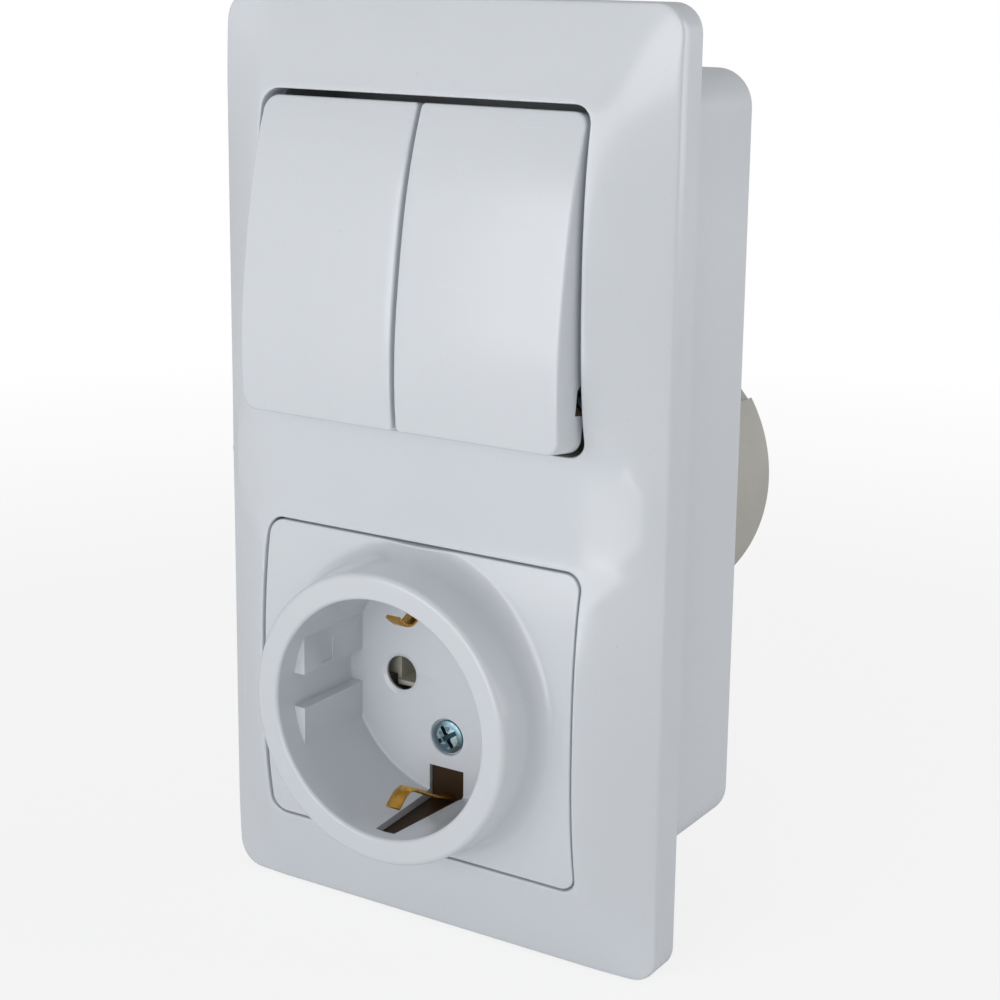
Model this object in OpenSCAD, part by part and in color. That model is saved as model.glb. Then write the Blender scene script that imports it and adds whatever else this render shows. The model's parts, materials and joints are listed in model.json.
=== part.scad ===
// Flush wall unit: a two-gang rocker switch above an earthed round-well socket, behind one frame,
// with a rear housing for the wall recess and a round cup that reaches into the wall box.
// The origin is midway between the two fixing screws, on the back face of the rear housing.
// X points to the right, Y into the wall and Z up. Heights h are measured forwards from the wall
// plane and depths d backwards from it.

/* [Front frame] */
// Width of the frame
frame_w = 84.4; // [80:0.1:90]
// Height of the frame
frame_h = 153.5; // [150:0.1:160]
// Radius of the frame's corners seen from the front
frame_corner = 4.5; // [2:0.1:6]
// Height of the frame's straight side wall
frame_edge = 6.2; // [4:0.1:8]
// Rise of the sloping border from the side wall to the openings
border_rise = 5.2; // [3:0.1:7]
// Further rise of the frame beside the middle of each opening
arch_rise = 2.3; // [1:0.1:3.5]
// Thickness of the frame's wall
frame_wall = 2; // [1.4:0.1:2.4]
// Width of both openings
opening_w = 60.8; // [58:0.1:63]
// Height of each opening
opening_h = 53; // [51:0.1:56]
// Radius of the openings' corners
opening_corner = 3; // [1:0.1:5]
// Distance between the middles of the two openings
module_pitch = 71; // [70:0.1:74]
// Depth of the lip round each opening
lip_depth = 5; // [3:0.1:6]
// Thickness of the lip round each opening
lip_wall = 1.4; // [1:0.1:2]

/* [Rockers] */
// Gap between a rocker and the frame at each side
rocker_gap = 0.6; // [0.4:0.05:1]
// Gap between the two rockers
rocker_split = 0.7; // [0.5:0.05:1.2]
// Length of a rocker
rocker_len = 50.8; // [46:0.1:51]
// Height of a rocker's ends when it stands level
rocker_h = 14.8; // [14:0.1:16]
// Rise of a rocker's curved face over its ends
rocker_arch = 2.8; // [1.5:0.1:3.5]
// Wall thickness of a rocker
rocker_wall = 1.6; // [1.2:0.1:2]
// Depth of a rocker's skirt at its ends
rocker_skirt = 6.4; // [4:0.1:7]
// Radius of a rocker's outer corners seen from the front
rocker_corner = 2.4; // [1.5:0.1:3]
// Tilt of a rocker from level at either end of its travel
rocker_tilt = 7.9; // [5:0.1:8.5]
// Height of the rockers' pivot over the wall plane
pivot_h = 10; // [9:0.1:11]
// Radius of a yoke's pivot pins
pivot_r = 1.5; // [1.2:0.1:2]
// Running clearance round a pivot pin
pivot_fit = 0.05; // [0.02:0.01:0.1]
// Thickness of the base's ears that carry the pins
ear_wall = 1.6; // [1.2:0.1:1.8]

/* [Switch mechanism] */
// Length of the posts that both mechanism bases stand on
post_l = 3.5; // [3:0.1:5]
// Bite of a base screw in its post
post_bite = 2.6; // [2:0.1:2.9]
// Width of the switch base
switch_base_w = 56; // [55:0.5:62]
// Height of the switch base
switch_base_h = 46; // [44:0.5:49]
// Width of the contact chamber of each gang
chamber_w = 10.6; // [9:0.1:12]
// Thickness of the switch base behind the contact chambers
chamber_floor = 4; // [2.5:0.1:5]
// Reach of a plunger behind the pivot
plunger_reach = 12; // [11:0.1:13]
// Radius of a plunger
plunger_r = 1.9; // [1.5:0.1:2.1]
// Tilt of a contact rocker from level at either end of its travel
contact_tilt = 7; // [5:0.1:8]
// Half length of a contact rocker
contact_half = 8; // [7:0.1:9]
// Thickness of the contact strips
strip_t = 1; // [0.8:0.1:1.2]
// Radius of the ridge that a contact rocker tilts on
ridge_r = 1; // [0.8:0.1:1.2]

/* [Socket] */
// Gap between the socket cover and the frame
cover_gap = 0.4; // [0.3:0.05:0.8]
// Thickness of the socket cover's walls
cover_wall = 2; // [1.6:0.1:2.4]
// Radius of the plug well
well_r = 19.75; // [19.5:0.05:20.5]
// Height of the collar's rim over the wall plane
rim_h = 23.2; // [21:0.1:25]
// Height of the well's floor over the wall plane
floor_h = 2.7; // [2.4:0.1:3.2]
// Outer radius of the collar at its rim
collar_r = 24.1; // [23.5:0.1:24.8]
// Outer radius of the collar's foot
collar_foot_r = 27.2; // [26.5:0.1:28]
// Distance between the two pin holes
pin_pitch = 19; // [18.8:0.1:19.2]
// Diameter of the pin holes
pin_hole = 6; // [5.8:0.1:6.2]
// Distance of the guide ribs' faces from the middle of the well
rib_face = 17.4; // [17:0.1:17.8]
// Distance of the cover screw below the middle of the well
cover_screw_drop = 9.4; // [9:0.1:10]
// Diameter of the cover screw's head
cover_head = 5.7; // [5.4:0.1:6.2]
// Width of the earth clips
clip_w = 2.7; // [2.4:0.1:3]
// Width of the socket base
socket_base_w = 54; // [53:0.5:58]
// Gap between the socket base and the rear housing's lower wall
base_room = 0.2; // [0.1:0.1:0.6]
// Thickness of the socket base behind its contacts
contact_floor = 1; // [0.8:0.1:1.4]
// Thickness of the earth strap
strap_t = 2; // [1.8:0.1:2.4]
// Width of the earth strap
strap_w = 6; // [5:0.1:7]
// Thickness of the earth clips
clip_t = 0.7; // [0.5:0.1:0.9]
// Depth of the cover screw's shank behind the wall plane
cover_screw_reach = 8; // [6:0.1:9]

/* [Rear housing and cup] */
// Width of the rear housing
housing_w = 80; // [79:0.1:80.2]
// Height of the rear housing
housing_h = 125; // [124:0.5:130]
// Depth of the rear housing behind the wall plane
housing_d = 22; // [21.5:0.1:26]
// Distance of the housing's middle above the frame's middle
housing_lift = 3.8; // [3:0.1:4.5]
// Corner radius of the rear housing
housing_corner = 6; // [4:0.1:8]
// Thickness of the housing's walls
housing_wall = 2; // [1.6:0.1:2.4]
// Thickness of the housing's back
housing_back = 2.5; // [2:0.1:3]
// Outer radius of the round cup
cup_r = 27.8; // [26.5:0.1:28]
// Depth of the round cup behind the housing
cup_d = 38.8; // [30:0.1:42]
// Wall thickness of the round cup
cup_wall = 2.2; // [1.8:0.1:2.8]
// Distance of the cup's middle below the frame's middle
cup_drop = 9.4; // [7:0.1:10]
// Distance between the two fixing screws
fixing_pitch = 60; // [59.8:0.1:61]
// Diameter of the fixing holes
fixing_hole = 3.8; // [3.4:0.1:4]
// Length of the cup's screw bosses
cup_boss_l = 10; // [9:0.1:14]
// Bite of a cup screw in its boss
cup_bite = 7; // [5:0.1:7.5]
// Depth of the two flats along the cup
cup_flat = 1; // [0.6:0.1:1.2]
// Radius of the cable entry in the cup's back
cable_r = 9; // [7:0.5:12]

/* [Fasteners] */
// Shank radius of the small screws
screw_r = 1.4; // [1.2:0.1:1.5]
// Head radius of the small screws
screw_head_r = 2.6; // [2.3:0.1:2.8]
// Head height of the small screws
screw_head_t = 1.6; // [1.4:0.1:2]
// Clearance round a screw's shank in its hole
screw_fit = 0.1; // [0.05:0.05:0.2]

/* [Hidden] */
$fn = 64;

white = "whitesmoke";
beige = "tan";
brass = "goldenrod";
steel = "lightsteelblue";
eps = 0.01;
past = 1;

// Planes and middles in the part's own frame
wall_y = -housing_d;
frame_z = cup_drop;
switch_z = frame_z + module_pitch / 2;
socket_z = frame_z - module_pitch / 2;
housing_z = frame_z + housing_lift;
edge_h = frame_edge + border_rise;
peak_h = edge_h + arch_rise;
socket_base_h = 2 * (socket_z - housing_z + housing_h / 2 - housing_wall - base_room);
base_d = housing_d - housing_back - post_l;
face_steps = 6;
arch_steps = 16;
border_power = 1.35;
arch_power = 2.5;

// Rocker layout
gang_in = rocker_split / 2;
gang_out = opening_w / 2 - rocker_gap;
gang_x = (gang_in + gang_out) / 2;
rocker_w = gang_out - gang_in;
pivot_z = switch_z - 0.3;
skirt_clear = 0.4;
ear_out = rocker_w / 2 - rocker_wall - skirt_clear;
ear_in = ear_out - ear_wall;
yoke_clear = 0.3;
yoke_half = ear_in - yoke_clear;
yoke_top = pivot_h + pivot_r + 1.5;
yoke_back = pivot_h - pivot_r - 0.5;
sleeve_r = plunger_r + 1.1;
sleeve_end_h = 0.5;
bore_fit = 0.08;
spring_wire = 0.25;

// Switch contacts, as depths behind the wall plane
tip_d = plunger_reach - pivot_h;
tip_gap = 0.1;
strip_d = tip_d + tip_gap;
ridge_gap = 0.1;
ridge_d = strip_d + strip_t + ridge_gap + ridge_r;
bar_d = ridge_d + ridge_r;
contact_w = 5;
rest_gap = 0.15;
stud_d = ridge_d - (ridge_r + ridge_gap) * cos(contact_tilt) + (contact_half - 1) * sin(contact_tilt)
    + rest_gap;
terminal_w = 6.6;
terminal_l = 6.4;
terminal_t = 6;
terminal_z = switch_base_h / 2 - 2 - terminal_l / 2;

// Socket layout, as distances from the middle of the well
pin_x = pin_pitch / 2;
rib_in = 2.9;
rib_out = 9.7;
rib_h = rim_h - 4.4;
slot_half = 3.4;
slot_front_half = 1.85;
slot_z = well_r - 4.9;
slot_h = rim_h - 2.7;
slot_out = well_r + 1.3;
floor_back_h = floor_h - cover_wall;
strap_room = 0.2;
clip_root_z = well_r - 1.35;
clip_knee_z = well_r - 5.25;
clip_end_z = well_r - 3.35;
clip_knee_h = floor_h + 11.5;
clip_end_h = floor_h + 15.5;
cover_recess = 0.3;
flange_reach = lip_wall + 1.6;
flange_t = 1.6;
flange_h = edge_h - lip_depth - 0.2;
cavity_half_x = 4.4;
cavity_half_z = 5.5;
leaf_t = 0.8;
leaf_gap = 4.8;
leaf_room = 1.4;
arm_w = 3.6;
socket_terminal_x = socket_base_w / 2 - 2 - terminal_w / 2;
earth_terminal_x = 17;
earth_terminal_z = 12.4;
earth_arm = earth_terminal_x - screw_head_r - 0.3;
earth_block_x = earth_terminal_x - terminal_w / 2;

// Screws and bosses
boss_r = 3.4;
screw_room = 0.4;
cover_screw_r = screw_r + 0.3;
boss_inset = 3.6;
switch_screw_x = switch_base_w / 2 - boss_inset;
switch_screw_z = switch_base_h / 2 - boss_inset;
socket_screw_x = socket_base_w / 2 - boss_inset;
socket_screw_z = socket_base_h / 2 - boss_inset;
cup_screw_r = cup_r - cup_wall - 3;
cup_hole_r = cup_screw_r - boss_r - 1.2;
front_rim_h = 0.4;
hook_half = 5;
hook_z = [-38, 44];

// Extrusions of a drawing along each axis
module along_y(from, to) {
    translate([0, to, 0])
        rotate([90, 0, 0])
            linear_extrude(height = to - from)
                children();
}

module along_x(from, to) {
    translate([from, 0, 0])
        rotate([90, 0, 90])
            linear_extrude(height = to - from)
                children();
}

// A turned piece on an axis along Y: the drawing holds radius and height over the wall plane
module turned(x, z) {
    translate([x, wall_y, z])
        rotate([90, 0, 0])
            rotate_extrude($fn = 96)
                children();
}

// A round hole or pin along Y between two heights over the wall plane
module round_y(x, z, r, from_h, to_h) {
    translate([x, wall_y - from_h, z])
        rotate([90, 0, 0])
            cylinder(r = r, h = to_h - from_h);
}

// A block between two heights over the wall plane, centred on x and z
module block_y(x, z, w, h, from_h, to_h) {
    translate([x - w / 2, wall_y - to_h, z - h / 2])
        cube([w, to_h - from_h, h]);
}

module rounded_rect(w, h, r) {
    union() {
        square([w - 2 * r, h], center = true);
        square([w, h - 2 * r], center = true);
        for (x = [-1, 1], y = [-1, 1])
            translate([x * (w / 2 - r), y * (h / 2 - r)])
                circle(r = r);
    }
}

// Turns children about a line along X through the point y, z
module tilt_about(y, z, angle) {
    translate([0, y, z])
        rotate([angle, 0, 0])
            translate([0, -y, -z])
                children();
}

// Face heights of the frame: the border rises in a curve, the arch stands over each opening
function border_h(t, top) = frame_edge + (top - frame_edge) * (1 - pow(1 - t, border_power));
function arch_h(t) = edge_h + arch_rise * (1 - pow(abs(t), arch_power));
function border_z(t) = frame_h / 2 + (module_pitch / 2 + opening_h / 2 - frame_h / 2) * t;
function half_profile() = concat(
    [for (i = [0:face_steps - 1]) [border_h(i / face_steps, edge_h), border_z(i / face_steps)]],
    [for (i = [0:arch_steps]) [
        arch_h(1 - 2 * i / arch_steps),
        module_pitch / 2 + (1 - 2 * i / arch_steps) * opening_h / 2
    ]]
);
function upright_profile(drop) = let (half = half_profile(), n = len(half)) concat(
    [[wall_y + past * sign(drop), frame_z + frame_h / 2]],
    [for (p = half) [wall_y - p[0] + drop, frame_z + p[1]]],
    [for (i = [n - 1:-1:0]) [wall_y - half[i][0] + drop, frame_z - half[i][1]]],
    [[wall_y + past * sign(drop), frame_z - frame_h / 2]]
);
function cross_profile(drop) = concat(
    [[-frame_w / 2, wall_y + past * sign(drop)]],
    [for (i = [0:face_steps]) let (t = i / face_steps)
        [-frame_w / 2 + (frame_w - opening_w) / 2 * t, wall_y - border_h(t, peak_h) + drop]],
    [for (i = [face_steps:-1:0]) let (t = i / face_steps)
        [frame_w / 2 - (frame_w - opening_w) / 2 * t, wall_y - border_h(t, peak_h) + drop]],
    [[frame_w / 2, wall_y + past * sign(drop)]]
);

// The pillow shape of the face: an upright profile crossed with a level one
module pillow(drop) {
    intersection() {
        along_x(-frame_w / 2 - past, frame_w / 2 + past)
            polygon(upright_profile(drop));
        translate([0, 0, frame_z - frame_h / 2 - past])
            linear_extrude(height = frame_h + 2 * past)
                polygon(cross_profile(drop));
    }
}

module opening_column(grow, from_h, to_h) {
    for (z = [switch_z, socket_z])
        translate([0, 0, z])
            along_y(wall_y - to_h, wall_y - from_h)
                rounded_rect(opening_w + 2 * grow, opening_h + 2 * grow, opening_corner + grow);
}

module front_frame() {
    ledge_h = 3.2;
    ledge_t = 1;
    ledge_reach = 1.2;
    color(white)
        difference() {
            intersection() {
                union() {
                    difference() {
                        pillow(0);
                        intersection() {
                            pillow(frame_wall);
                            translate([0, 0, frame_z])
                                along_y(wall_y - peak_h - past, wall_y + past)
                                    rounded_rect(frame_w - 2 * frame_wall, frame_h - 2 * frame_wall,
                                        frame_corner - frame_wall);
                        }
                    }
                    intersection() {
                        pillow(0);
                        opening_column(lip_wall, edge_h - lip_depth, peak_h + past);
                    }
                    for (side = [-1, 1], z = hook_z)
                        block_y(side * (frame_w / 2 - frame_wall - ledge_reach / 2 + eps),
                            frame_z + z, ledge_reach + 2 * eps, 2 * hook_half, ledge_h,
                            ledge_h + ledge_t);
                }
                translate([0, 0, frame_z])
                    along_y(wall_y - peak_h - past, wall_y)
                        rounded_rect(frame_w, frame_h, frame_corner);
            }
            opening_column(0, -past, peak_h + past);
        }
}

// A rocker's side view at level: curved face, drawn as height and distance from the pivot
function rocker_line(drop, half) = [for (i = [0:arch_steps]) let (t = 2 * i / arch_steps - 1)
    [-(rocker_h + rocker_arch * (1 - pow(abs(t), arch_power)) - drop), t * half]];

module rocker_side(drop, half, back_h) {
    polygon(concat([[-back_h, -half]], rocker_line(drop, half), [[-back_h, half]]));
}

// A rocker's outline from the front: round outer corners, nearly sharp inner ones
module rocker_outline(side) {
    inner_corner = 0.7;
    rounded_rect(rocker_w, rocker_len, rocker_corner);
    translate([-side * rocker_w / 4, 0])
        rounded_rect(rocker_w / 2, rocker_len, inner_corner);
}

module at_rocker(side) {
    tilt_about(wall_y - pivot_h, pivot_z, -rocker_tilt)
        translate([side * gang_x, wall_y, pivot_z])
            children();
}

module rocker(side) {
    half = rocker_len / 2;
    back_h = rocker_h - rocker_skirt;
    notch_h = 10.8;
    notch_low = -19.4;
    notch_high = -14;
    notch_slope = 1.6;
    rib_t = 1.2;
    rib_z = 6;
    color(white)
        at_rocker(side) {
            difference() {
                intersection() {
                    along_x(-rocker_w / 2, rocker_w / 2)
                        rocker_side(0, half, back_h);
                    along_y(-rocker_h - rocker_arch - past, past)
                        rocker_outline(side);
                }
                along_x(-rocker_w / 2 + rocker_wall, rocker_w / 2 - rocker_wall)
                    rocker_side(rocker_wall, half - rocker_wall, back_h - past);
                along_x(side * rocker_w / 2 - rocker_wall - past, side * rocker_w / 2 + rocker_wall + past)
                    polygon([[-back_h + past, notch_low], [-notch_h, notch_low],
                        [-notch_h, notch_high - notch_slope], [-notch_h + notch_slope, notch_high],
                        [-back_h + past, notch_high]]);
            }
            for (z = [-rib_z, rib_z])
                translate([0, 0, z])
                    intersection() {
                        translate([-rocker_w / 2 + rocker_wall / 2, -rocker_h - rocker_arch, -rib_t / 2])
                            cube([rocker_w - rocker_wall, rocker_h + rocker_arch - yoke_top, rib_t]);
                        translate([0, 0, -z])
                            along_x(-rocker_w / 2, rocker_w / 2)
                                rocker_side(rocker_wall / 2, half, 0);
                    }
        }
}

// The yoke carries the rocker cap and turns on two pins in the base's ears
module rocker_yoke(side) {
    flange_half = 8;
    flange_thick = 1.5;
    core_half = 4;
    color(beige)
        at_rocker(side)
            difference() {
                union() {
                    translate([-yoke_half, -yoke_top, -flange_half])
                        cube([2 * yoke_half, flange_thick, 2 * flange_half]);
                    translate([-yoke_half, -yoke_top, -core_half])
                        cube([2 * yoke_half, yoke_top - yoke_back, 2 * core_half]);
                    translate([-ear_out, -pivot_h, 0])
                        rotate([0, 90, 0])
                            cylinder(r = pivot_r, h = 2 * ear_out);
                    translate([0, -sleeve_end_h, 0])
                        rotate([90, 0, 0])
                            cylinder(r = sleeve_r, h = yoke_back - sleeve_end_h + eps);
                }
                translate([0, -sleeve_end_h + past, 0])
                    rotate([90, 0, 0])
                        cylinder(r = plunger_r + bore_fit, h = yoke_top - flange_thick - sleeve_end_h + past);
            }
}

plunger_top_h = 5;

module plunger(side) {
    color(steel)
        at_rocker(side)
            rotate([90, 0, 0])
                union() {
                    translate([0, 0, -tip_d + plunger_r])
                        sphere(r = plunger_r);
                    translate([0, 0, -tip_d + plunger_r])
                        cylinder(r = plunger_r, h = plunger_top_h + tip_d - plunger_r);
                }
}

// A coil spring swept as one closed tube
function coil_point(r, pitch, a, c, wire) = let (rr = r + wire * cos(c))
    [rr * cos(a), rr * sin(a), pitch * a / 360 + wire * sin(c)];

module coil(r, length, turns, wire) {
    sides = 8;
    rings = turns * 14;
    pitch = (length - 2 * wire) / turns;
    points = [for (i = [0:rings], j = [0:sides - 1])
        coil_point(r, pitch, i * 360 * turns / rings, j * 360 / sides, wire)];
    skin = [for (i = [0:rings - 1], j = [0:sides - 1]) let (k = (j + 1) % sides)
        [i * sides + j, (i + 1) * sides + j, (i + 1) * sides + k, i * sides + k]];
    start = [for (j = [0:sides - 1]) j];
    end = [for (j = [sides - 1:-1:0]) rings * sides + j];
    translate([0, 0, wire])
        polyhedron(points = points, faces = concat(skin, [start], [end]));
}

module plunger_spring(side) {
    seat_h = yoke_top - 1.5;
    color(steel)
        at_rocker(side)
            translate([0, -plunger_top_h, 0])
                rotate([90, 0, 0])
                    coil(plunger_r - 2 * spring_wire, seat_h - plunger_top_h, 4, spring_wire);
}

// Contact rocker: a brass strip that tilts on the ridge of the common contact
module contact_rocker(side) {
    flat = ridge_r + ridge_gap;
    color(brass)
        tilt_about(wall_y + ridge_d, pivot_z, contact_tilt)
            translate([side * gang_x - contact_w / 2, wall_y + ridge_d - flat - strip_t,
                pivot_z - contact_half])
                cube([contact_w, strip_t, 2 * contact_half]);
}

module common_contact() {
    web = 1.2;
    arm_l = pivot_z - (switch_z - terminal_z);
    color(brass)
        difference() {
            union() {
                block_y(0, pivot_z, 2 * gang_x + contact_w, 4, -bar_d - strip_t, -bar_d);
                for (side = [-1, 1]) {
                    translate([side * gang_x - contact_w / 2, wall_y + ridge_d, pivot_z])
                        rotate([0, 90, 0])
                            cylinder(r = ridge_r, h = contact_w);
                    block_y(side * gang_x, pivot_z, contact_w, web, -bar_d - eps, -ridge_d);
                }
                block_y(0, pivot_z - arm_l / 2, 4, arm_l, -bar_d - strip_t, -bar_d);
                switch_terminal(0, switch_z - terminal_z);
            }
            round_y(0, switch_z - terminal_z, screw_r + screw_fit, -bar_d - strip_t - past, past);
        }
}

// Terminal block: a clamp screw from the front and a wire hole across it
module switch_terminal(x, z) {
    difference() {
        block_y(x, z, terminal_w, terminal_l, -bar_d - strip_t, -bar_d - strip_t + terminal_t);
        round_y(x, z, screw_r + screw_fit, -bar_d - strip_t - past, past);
    }
}

module fixed_contact(side) {
    stud_r = 1.6;
    z_low = pivot_z + contact_half - 2.8;
    z_high = switch_z + terminal_z;
    color(brass) {
        difference() {
            block_y(side * gang_x, (z_low + z_high) / 2, 4, z_high - z_low, -bar_d - strip_t, -bar_d);
            round_y(side * gang_x, z_high, screw_r + screw_fit, -bar_d - strip_t - past, past);
        }
        round_y(side * gang_x, pivot_z + contact_half - 1.2, stud_r, -bar_d - eps, -stud_d);
        switch_terminal(side * gang_x, z_high);
    }
}

// A cheese-head screw whose head sits at a height, with a slot across it
module small_screw(x, z, seat_h, length) {
    slot_w = 0.7;
    slot_d = 0.8;
    difference() {
        union() {
            round_y(x, z, screw_head_r, seat_h, seat_h + screw_head_t);
            round_y(x, z, screw_r, seat_h - length, seat_h + eps);
        }
        block_y(x, z, 2 * screw_head_r + past, slot_w, seat_h + screw_head_t - slot_d,
            seat_h + screw_head_t + past);
    }
}

module switch_terminal_screws() {
    seat = -bar_d - strip_t + terminal_t;
    color(steel) {
        for (side = [-1, 1])
            small_screw(side * gang_x, switch_z + terminal_z, seat, terminal_t);
        small_screw(0, switch_z - terminal_z, seat, terminal_t);
    }
}

module base_body(z, w, h, front_h) {
    translate([0, 0, z])
        along_y(wall_y - front_h, wall_y + base_d)
            rounded_rect(w, h, 3);
}

// Holes of a base for its two fixing screws, with a counterbore in front
module base_holes(x, z, screw_z, front_h) {
    for (side = [-1, 1]) {
        round_y(side * x, z + screw_z, screw_r + screw_fit, -base_d - past, front_h + past);
        round_y(side * x, z + screw_z, screw_head_r + 0.3, front_h - screw_head_t - 0.4, front_h + past);
    }
}

module switch_base() {
    chamber_back = -base_d + chamber_floor;
    top = switch_z + switch_base_h / 2 - 1.8;
    chamber_low = pivot_z - contact_half - 2.5;
    ear_half = 3.6;
    color(beige)
        difference() {
            union() {
                base_body(switch_z, switch_base_w, switch_base_h, 0);
                for (gang = [-1, 1], side = [-1, 1])
                    ear(gang * gang_x + side * (ear_in + ear_wall / 2), ear_half);
            }
            for (gang = [-1, 1]) {
                block_y(gang * gang_x, (top + chamber_low) / 2, chamber_w, top - chamber_low,
                    -bar_d - strip_t, past / 2);
                block_y(gang * gang_x, pivot_z, chamber_w, 2 * contact_half + 5, chamber_back, -bar_d);
                translate([gang * gang_x - ear_out - past, wall_y - pivot_h, pivot_z])
                    rotate([0, 90, 0])
                        cylinder(r = pivot_r + pivot_fit, h = 2 * (ear_out + past));
            }
            block_y(0, pivot_z, 2 * gang_x, 4.4, -bar_d - strip_t, -bar_d + 0.4);
            common_low = switch_z - terminal_z - terminal_l / 2 - 0.3;
            block_y(0, (common_low + pivot_z) / 2, 4.4, pivot_z - common_low, -bar_d - strip_t, -bar_d + 0.4);
            block_y(0, switch_z - terminal_z, terminal_w + 0.6, terminal_l + 0.6, -bar_d - strip_t, past);
            base_holes(switch_screw_x, switch_z, -switch_screw_z, 0);
        }
}

// An ear with a round end that carries a pivot pin
module ear(x, half) {
    block_y(x, pivot_z, ear_wall, 2 * half, -past, pivot_h);
    translate([x - ear_wall / 2, wall_y - pivot_h, pivot_z])
        rotate([0, 90, 0])
            cylinder(r = half, h = ear_wall);
}

module switch_base_screws() {
    color(steel)
        for (side = [-1, 1])
            small_screw(side * switch_screw_x, switch_z - switch_screw_z, -screw_head_t - 0.4,
                base_d + post_bite - screw_head_t - 0.4);
}

// The cover's curved plate follows the frame's arch, a little lower
function cover_line(drop) = [for (i = [0:arch_steps]) let (t = 2 * i / arch_steps - 1)
    [wall_y - arch_h(t) + cover_recess + drop, socket_z + t * opening_h / 2]];

module cover_slab(drop, back_h) {
    along_x(-opening_w / 2, opening_w / 2)
        polygon(concat([[wall_y - back_h, socket_z - opening_h / 2]], cover_line(drop),
            [[wall_y - back_h, socket_z + opening_h / 2]]));
}

module cover_column(shrink, from_h, to_h) {
    translate([0, 0, socket_z])
        along_y(wall_y - to_h, wall_y - from_h)
            rounded_rect(opening_w - 2 * shrink, opening_h - 2 * shrink, opening_corner - cover_gap);
}

// Collar and well, turned: rounded rim, flared foot
module collar_profile() {
    rim_round = 1;
    flare_h = 4.2;
    foot_h = edge_h + 0.6;
    flare_r = collar_foot_r - collar_r - 0.5;
    polygon(concat(
        [[well_r - cover_wall / 2, floor_back_h], [well_r + cover_wall, floor_back_h]],
        [[well_r + cover_wall, foot_h - past], [collar_foot_r, foot_h - past]],
        [for (a = [0:15:90]) [
            collar_foot_r - flare_r * sin(a),
            foot_h + 1 + flare_h * (1 - cos(a))
        ]],
        [for (a = [0:22.5:90]) [
            collar_r - rim_round * (1 - cos(a)),
            rim_h - rim_round * (1 - sin(a))
        ]],
        [for (a = [90:30:180]) [
            well_r + rim_round / 2 * (1 + cos(a)),
            rim_h - rim_round / 2 * (1 - sin(a))
        ]],
        [[well_r, floor_h + eps], [well_r - cover_wall / 2, floor_h + eps]]
    ));
}

module guide_ribs() {
    intersection() {
        round_y(0, socket_z, well_r + 0.5, floor_h - eps, rib_h);
        for (side = [-1, 1], level = [-1, 1])
            block_y(side * (rib_face + well_r) / 2 + side * 0.5, socket_z + level * (rib_in + rib_out) / 2,
                well_r - rib_face + 1, rib_out - rib_in, floor_h - eps, rib_h);
    }
}

// A shallow pocket in the face of the upper left rib
module rib_pocket() {
    pocket_d = 0.4;
    pocket_low = rib_in + 0.7;
    pocket_high = rib_out - 2.3;
    block_y(-rib_face, socket_z + (pocket_low + pocket_high) / 2, 2 * pocket_d, pocket_high - pocket_low,
        rib_h - 7.7, rib_h - 4.7);
}

// The slot for an earth clip: through the floor and up the wall, narrowing to the front
module clip_slot(level) {
    translate([0, 0, socket_z]) {
        block_y(0, level * (slot_z + slot_out) / 2, 2 * slot_half, slot_out - slot_z, floor_back_h - past,
            floor_h + past);
        translate([0, 0, min(level * slot_z, level * slot_out)])
            linear_extrude(height = slot_out - slot_z)
                polygon([[-slot_half, wall_y - floor_back_h], [slot_half, wall_y - floor_back_h],
                    [slot_front_half, wall_y - slot_h], [-slot_front_half, wall_y - slot_h]]);
    }
}

module socket_cover() {
    pin_dish = 1;
    head_room = 0.2;
    color(white)
        difference() {
            union() {
                difference() {
                    intersection() {
                        cover_slab(0, flange_h - flange_t);
                        cover_column(cover_gap, flange_h - flange_t, peak_h + past);
                    }
                    intersection() {
                        cover_slab(cover_wall, flange_h - flange_t - past);
                        cover_column(cover_gap + cover_wall, flange_h - flange_t - past, peak_h + past);
                    }
                    round_y(0, socket_z, well_r + eps, -past, rim_h + past);
                }
                difference() {
                    translate([0, 0, socket_z])
                        along_y(wall_y - flange_h, wall_y - flange_h + flange_t)
                            rounded_rect(opening_w + 2 * flange_reach, opening_h + 2 * flange_reach,
                                opening_corner + flange_reach);
                    cover_column(cover_gap + cover_wall, -past, rim_h);
                }
                intersection() {
                    turned(0, socket_z)
                        collar_profile();
                    cover_column(cover_gap, -past, rim_h + past);
                }
                round_y(0, socket_z, well_r, floor_back_h, floor_h);
                guide_ribs();
            }
            for (side = [-1, 1]) {
                round_y(side * pin_x, socket_z, pin_hole / 2, -past, floor_h + past);
                turned(side * pin_x, socket_z)
                    polygon([[0, floor_h - 0.4], [pin_hole / 2, floor_h - 0.4],
                        [pin_hole / 2 + pin_dish, floor_h + eps], [0, floor_h + eps]]);
            }
            rib_pocket();
            for (level = [-1, 1])
                clip_slot(level);
            round_y(0, socket_z - cover_screw_drop, cover_screw_r + screw_fit, -past, floor_h + past);
            round_y(0, socket_z - cover_screw_drop, cover_head / 2 + head_room, floor_h - 1, floor_h + past);
        }
}

// Cover screw with a domed head and a cross recess
module cover_screw() {
    dome = 0.5;
    arm = 0.75;
    head_base = floor_h - 1;
    color(steel)
        difference() {
            union() {
                turned(0, socket_z - cover_screw_drop)
                    polygon(concat([[0, head_base]], [[cover_head / 2, head_base]],
                        [for (a = [0:15:90]) [cover_head / 2 * cos(a), head_base + 0.7 + dome * sin(a)]]));
                round_y(0, socket_z - cover_screw_drop, cover_screw_r, -cover_screw_reach,
                    head_base + eps);
            }
            for (turn = [45, 135])
                translate([0, wall_y - floor_h, socket_z - cover_screw_drop])
                    rotate([0, turn, 0])
                        cube([cover_head * 0.62, 2.4, arm], center = true);
        }
}

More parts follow.
